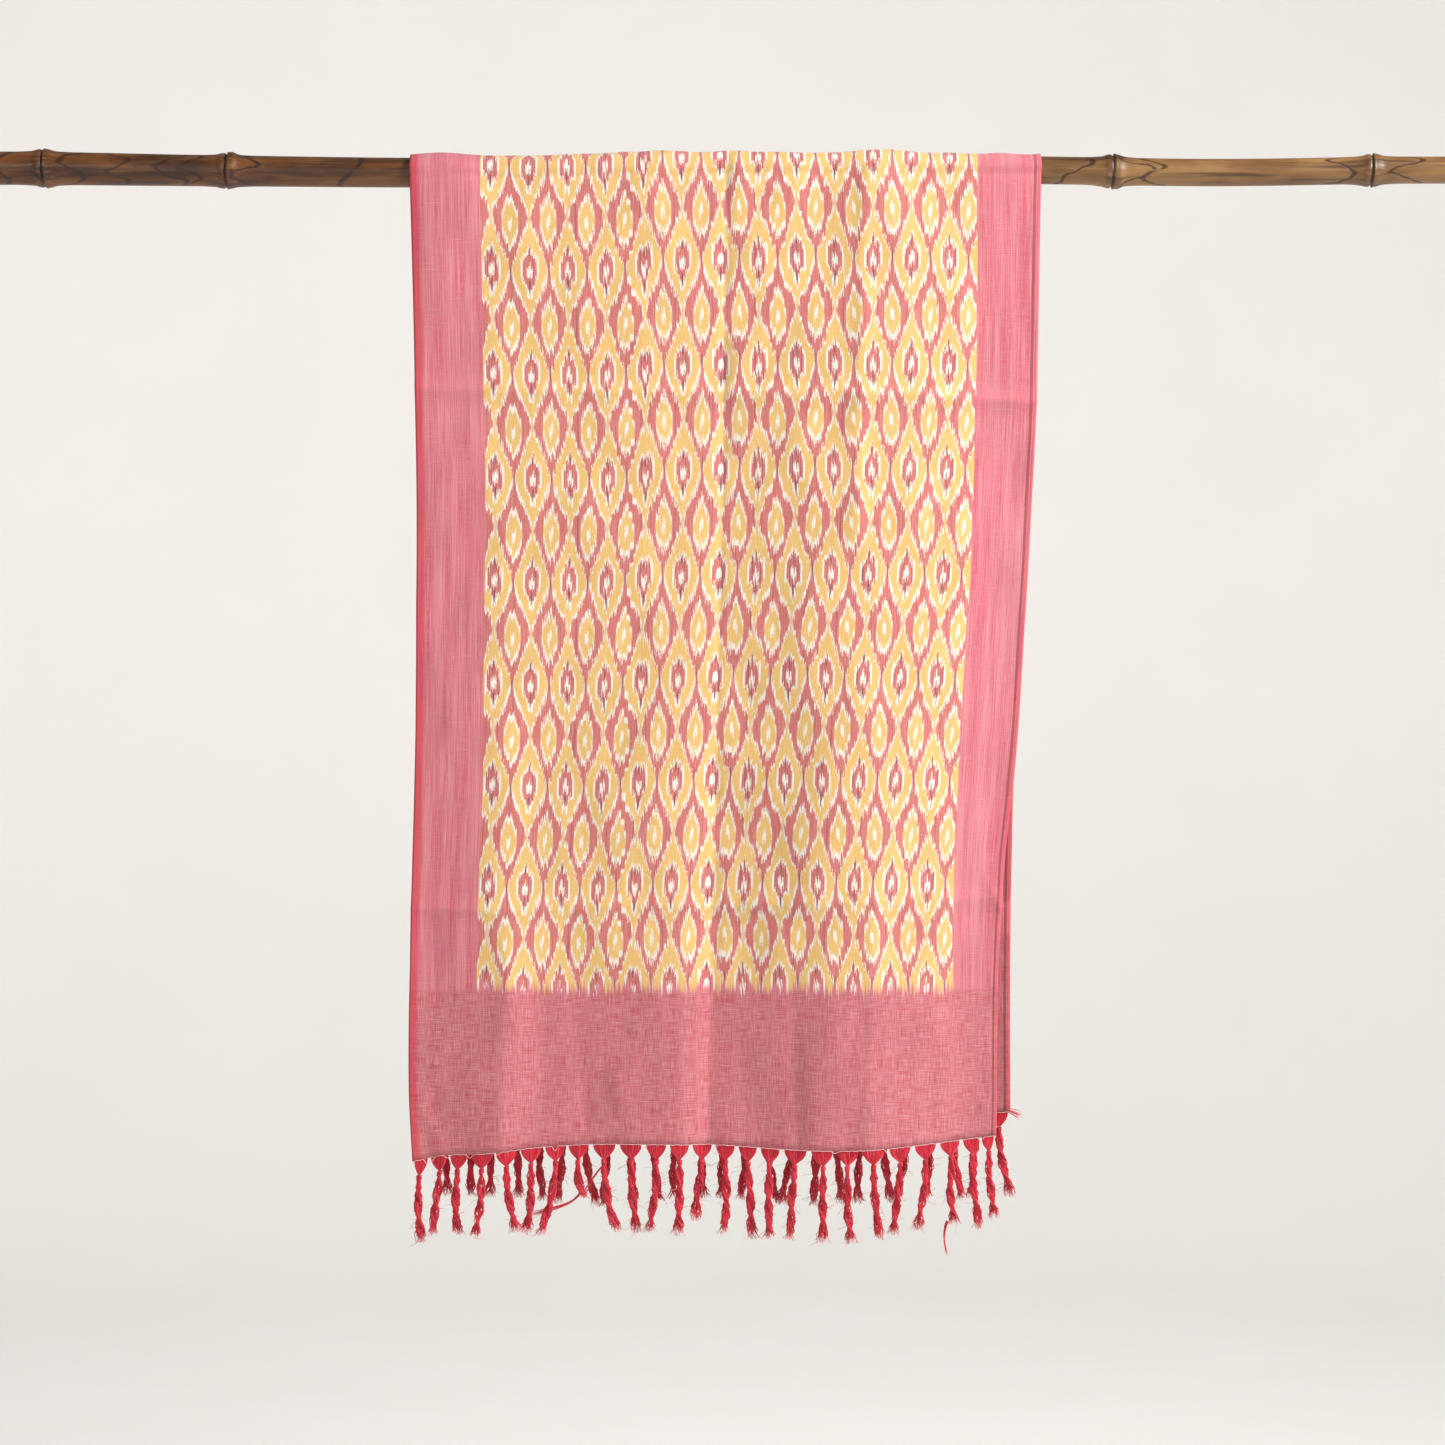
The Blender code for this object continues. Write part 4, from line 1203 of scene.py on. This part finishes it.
# %% The yarn tree
def yarn_tree():
    """Geometry Nodes: lines with a stored width become yarns."""
    tree = bpy.data.node_groups.new("spun_yarn", "GeometryNodeTree")
    face = tree.interface
    face.new_socket("Lines", in_out="INPUT", socket_type="NodeSocketGeometry")
    for name, value in (("Width Scale", 1.0), ("Wobble", 0.0004), ("Wobble Scale", 160.0)):
        face.new_socket(name, in_out="INPUT", socket_type="NodeSocketFloat").default_value = value
    for name, value in (("Sides", 4), ("Seed", 3)):
        face.new_socket(name, in_out="INPUT", socket_type="NodeSocketInt").default_value = value
    face.new_socket("Finish", in_out="INPUT", socket_type="NodeSocketMaterial")
    face.new_socket("Yarns", in_out="OUTPUT", socket_type="NodeSocketGeometry")
    nodes, wire = tree.nodes, tree.links.new
    given = nodes.new("NodeGroupInput").outputs

    where = nodes.new("GeometryNodeInputPosition")
    noise = nodes.new("ShaderNodeTexNoise")
    noise.noise_dimensions = "4D"
    wire(where.outputs[0], noise.inputs["Vector"])
    wire(given["Seed"], noise.inputs["W"])
    wire(given["Wobble Scale"], noise.inputs["Scale"])
    centred = nodes.new("ShaderNodeVectorMath")
    centred.operation = "SUBTRACT"
    wire(noise.outputs["Color"], centred.inputs[0])
    centred.inputs[1].default_value = (0.5, 0.5, 0.5)
    strength = nodes.new("ShaderNodeVectorMath")
    strength.operation = "SCALE"
    wire(centred.outputs[0], strength.inputs[0])
    wire(given["Wobble"], strength.inputs["Scale"])
    moved = nodes.new("GeometryNodeSetPosition")
    wire(given["Lines"], moved.inputs["Geometry"])
    wire(strength.outputs[0], moved.inputs["Offset"])

    curves = nodes.new("GeometryNodeMeshToCurve")
    wire(moved.outputs[0], curves.inputs[0])
    stored = nodes.new("GeometryNodeInputNamedAttribute")
    stored.inputs["Name"].default_value = "width"
    scaled = nodes.new("ShaderNodeMath")
    scaled.operation = "MULTIPLY"
    wire(stored.outputs["Attribute"], scaled.inputs[0])
    wire(given["Width Scale"], scaled.inputs[1])
    section = nodes.new("GeometryNodeCurvePrimitiveCircle")
    section.inputs["Radius"].default_value = 1.0
    wire(given["Sides"], section.inputs["Resolution"])
    swept = nodes.new("GeometryNodeCurveToMesh")
    wire(curves.outputs[0], swept.inputs["Curve"])
    wire(scaled.outputs[0], swept.inputs["Scale"])
    wire(section.outputs["Curve"], swept.inputs["Profile Curve"])
    swept.inputs["Fill Caps"].default_value = True
    real = nodes.new("GeometryNodeRealizeInstances")
    wire(swept.outputs[0], real.inputs[0])
    dressed = nodes.new("GeometryNodeSetMaterial")
    wire(real.outputs[0], dressed.inputs["Geometry"])
    wire(given["Finish"], dressed.inputs["Material"])
    wire(dressed.outputs[0], nodes.new("NodeGroupOutput").inputs[0])
    return tree


spun_yarn = yarn_tree()


def spin(name, yarns, finish, **settings):
    """Spin yarns from their lines: a plain mesh that carries pale and tone on its points."""
    points = np.concatenate([yarn.points for yarn in yarns])
    edges, start = [], 0
    for yarn in yarns:
        count = len(yarn.points)
        edges += [(start + step, start + step + 1) for step in range(count - 1)]
        start += count
    mesh = bpy.data.meshes.new(name)
    mesh.from_pydata(points.tolist(), edges, [])
    stored = {
        "width": np.concatenate([yarn.width for yarn in yarns]),
        "pale": np.concatenate([yarn.pale for yarn in yarns]),
        "tone": np.concatenate([np.full(len(yarn.points), yarn.tone) for yarn in yarns]),
    }
    for label, values in stored.items():
        layer = mesh.attributes.new(label, "FLOAT", "POINT")
        layer.data.foreach_set("value", values.astype(np.float32))
    made = bpy.data.objects.new(name, mesh)
    bpy.context.scene.collection.objects.link(made)
    spinner = made.modifiers.new("spinner", "NODES")
    spinner.node_group = spun_yarn
    settings["Finish"] = finish
    for item in spun_yarn.interface.items_tree:
        if item.in_out == "INPUT" and item.name in settings:
            spinner[item.identifier] = settings[item.name]
    settle(made)
    made.data.shade_smooth()
    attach(made, "root")
    print(f"{name}: {len(yarns)} yarns, {len(made.data.polygons)} faces")
    return made


# %% [markdown]
# ## Tassel dye
#
# The yarns are a deep crimson with a soft shine, a little different from one to the next, and
# their cut ends have gone pale where the dye did not hold. The tree kept two numbers on every
# point, so the finish can read how near the tip a point is and which yarn it is on.

# %% Crimson yarn
CRIMSON = colour(214, 22, 52)
CRIMSON_DEEP = colour(176, 8, 38)
CRIMSON_SOFT = colour(228, 60, 80)
TIP_PALE = colour(246, 206, 206)


def stored_reading(finish, label):
    """A number kept on the piece's points."""
    node = finish.node_tree.nodes.new("ShaderNodeAttribute")
    node.attribute_name = label
    return Reading(node.outputs["Fac"])


crimson, crimson_shader = new_finish("crimson_yarn", roughness=0.62, sheen=0.25)
yarn_x, yarn_y, yarn_z = room_reading(crimson)
tone = stored_reading(crimson, "tone")
tip = stored_reading(crimson, "pale")
dyed = mixed(soft_step(tone, 0.1, 0.6), CRIMSON_DEEP, CRIMSON)
dyed = mixed(soft_step(tone, 0.7, 1.0) * 0.7, dyed, CRIMSON_SOFT)
strand = clouds(place(yarn_x * 900.0, yarn_y * 900.0, yarn_z * 160.0), 1.0, 2.0)
dyed = mixed(soft_step(strand, 0.35, 0.75) * 0.35, dyed, CRIMSON_SOFT)
pale_tip = soft_step(tip, 0.86, 0.96) * soft_step(tone, 0.15, 0.40)
dyed = mixed(pale_tip * 0.85, dyed, TIP_PALE)
feed(crimson_shader.inputs["Base Color"], dyed)
raise_surface(crimson_shader, strand, 0.0002)

YARN_WOBBLE = 0.0007
fringe_front = spin("tassels_front", front_yarns, crimson, Wobble=YARN_WOBBLE)
fringe_back = spin("tassels_back", back_yarns, crimson, Wobble=YARN_WOBBLE)
for piece, solid in ((fringe_front, "fringe_front"), (fringe_back, "fringe_back")):
    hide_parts(solid)

# %% [markdown]
# ## Studio
#
# A plain pale studio: a floor that curves up into a wall all the way round, so that every
# side of the stole is seen against the same quiet ground. One soft light stands high on the
# right and rakes across the cloth, which brings out its folds, and a weak one fills the
# left. A third points away from the stole and evens out the wall behind it.

# %% Floor, wall and lights
FLOOR_HEIGHT = -1.70
FLOOR_RADIUS = 4.2
COVE_RADIUS = 1.3
COVE_STEPS = 12
WALL_TOP = 2.2
CENTRE_RADIUS = 0.0001
CLOTH_MIDDLE = (0.0, 0.0, -0.42)
WORLD_STRENGTH = 0.25


def studio_ground(finish):
    """A round floor that sweeps up into a wall."""
    profile = [(radius, FLOOR_HEIGHT) for radius in (CENTRE_RADIUS, FLOOR_RADIUS * 0.5, FLOOR_RADIUS)]
    for step in range(1, COVE_STEPS + 1):
        turn = math.pi / 2 * step / COVE_STEPS
        profile.append((FLOOR_RADIUS + COVE_RADIUS * math.sin(turn),
                        FLOOR_HEIGHT + COVE_RADIUS * (1 - math.cos(turn))))
    profile.append((FLOOR_RADIUS + COVE_RADIUS, WALL_TOP))
    turn = np.linspace(0, 2 * math.pi, 96, endpoint=False)
    rings = [points_of(radius * np.cos(turn), radius * np.sin(turn), height)
             for radius, height in profile]
    ground = grid_mesh("studio_ground", np.stack(rings), finish, closed_round=True)


def soft_light(name, where, size, power, tint, target=CLOTH_MIDDLE):
    """A square lamp that faces the middle of the cloth, or another target."""
    data = bpy.data.lights.new(name, "AREA")
    data.size = size
    data.energy = power
    data.color = tint
    lamp = bpy.data.objects.new(name, data)
    lamp.location = where
    aim = Vector(target) - Vector(where)
    lamp.rotation_euler = aim.to_track_quat("-Z", "Y").to_euler()
    bpy.context.scene.collection.objects.link(lamp)


paper, paper_shader = new_finish("studio_paper", roughness=0.9)
paper_x, paper_y, paper_z = room_reading(paper)
paper_mottle = clouds(place(paper_x, paper_y, paper_z), 3.0, 2.0)
feed(paper_shader.inputs["Base Color"],
     mixed(paper_mottle, colour(246, 244, 240), colour(250, 248, 245)))
studio_ground(paper)
soft_light("key", (2.40, -1.15, 1.15), 0.9, 146.0, (1.0, 0.98, 0.95))
soft_light("fill", (-1.6, -3.0, 0.3), 2.0, 18.0, (0.97, 0.98, 1.0))
soft_light("wall", (0.0, 1.2, 1.9), 2.0, 55.0, (1.0, 0.99, 0.98), target=(0.0, 5.5, -0.9))
world = bpy.data.worlds.new("studio_air")
world.use_nodes = True
world.node_tree.nodes["Background"].inputs[0].default_value = (0.95, 0.97, 1.0, 1.0)
world.node_tree.nodes["Background"].inputs[1].default_value = WORLD_STRENGTH
bpy.context.scene.world = world
print("studio: floor and wall, three lamps")
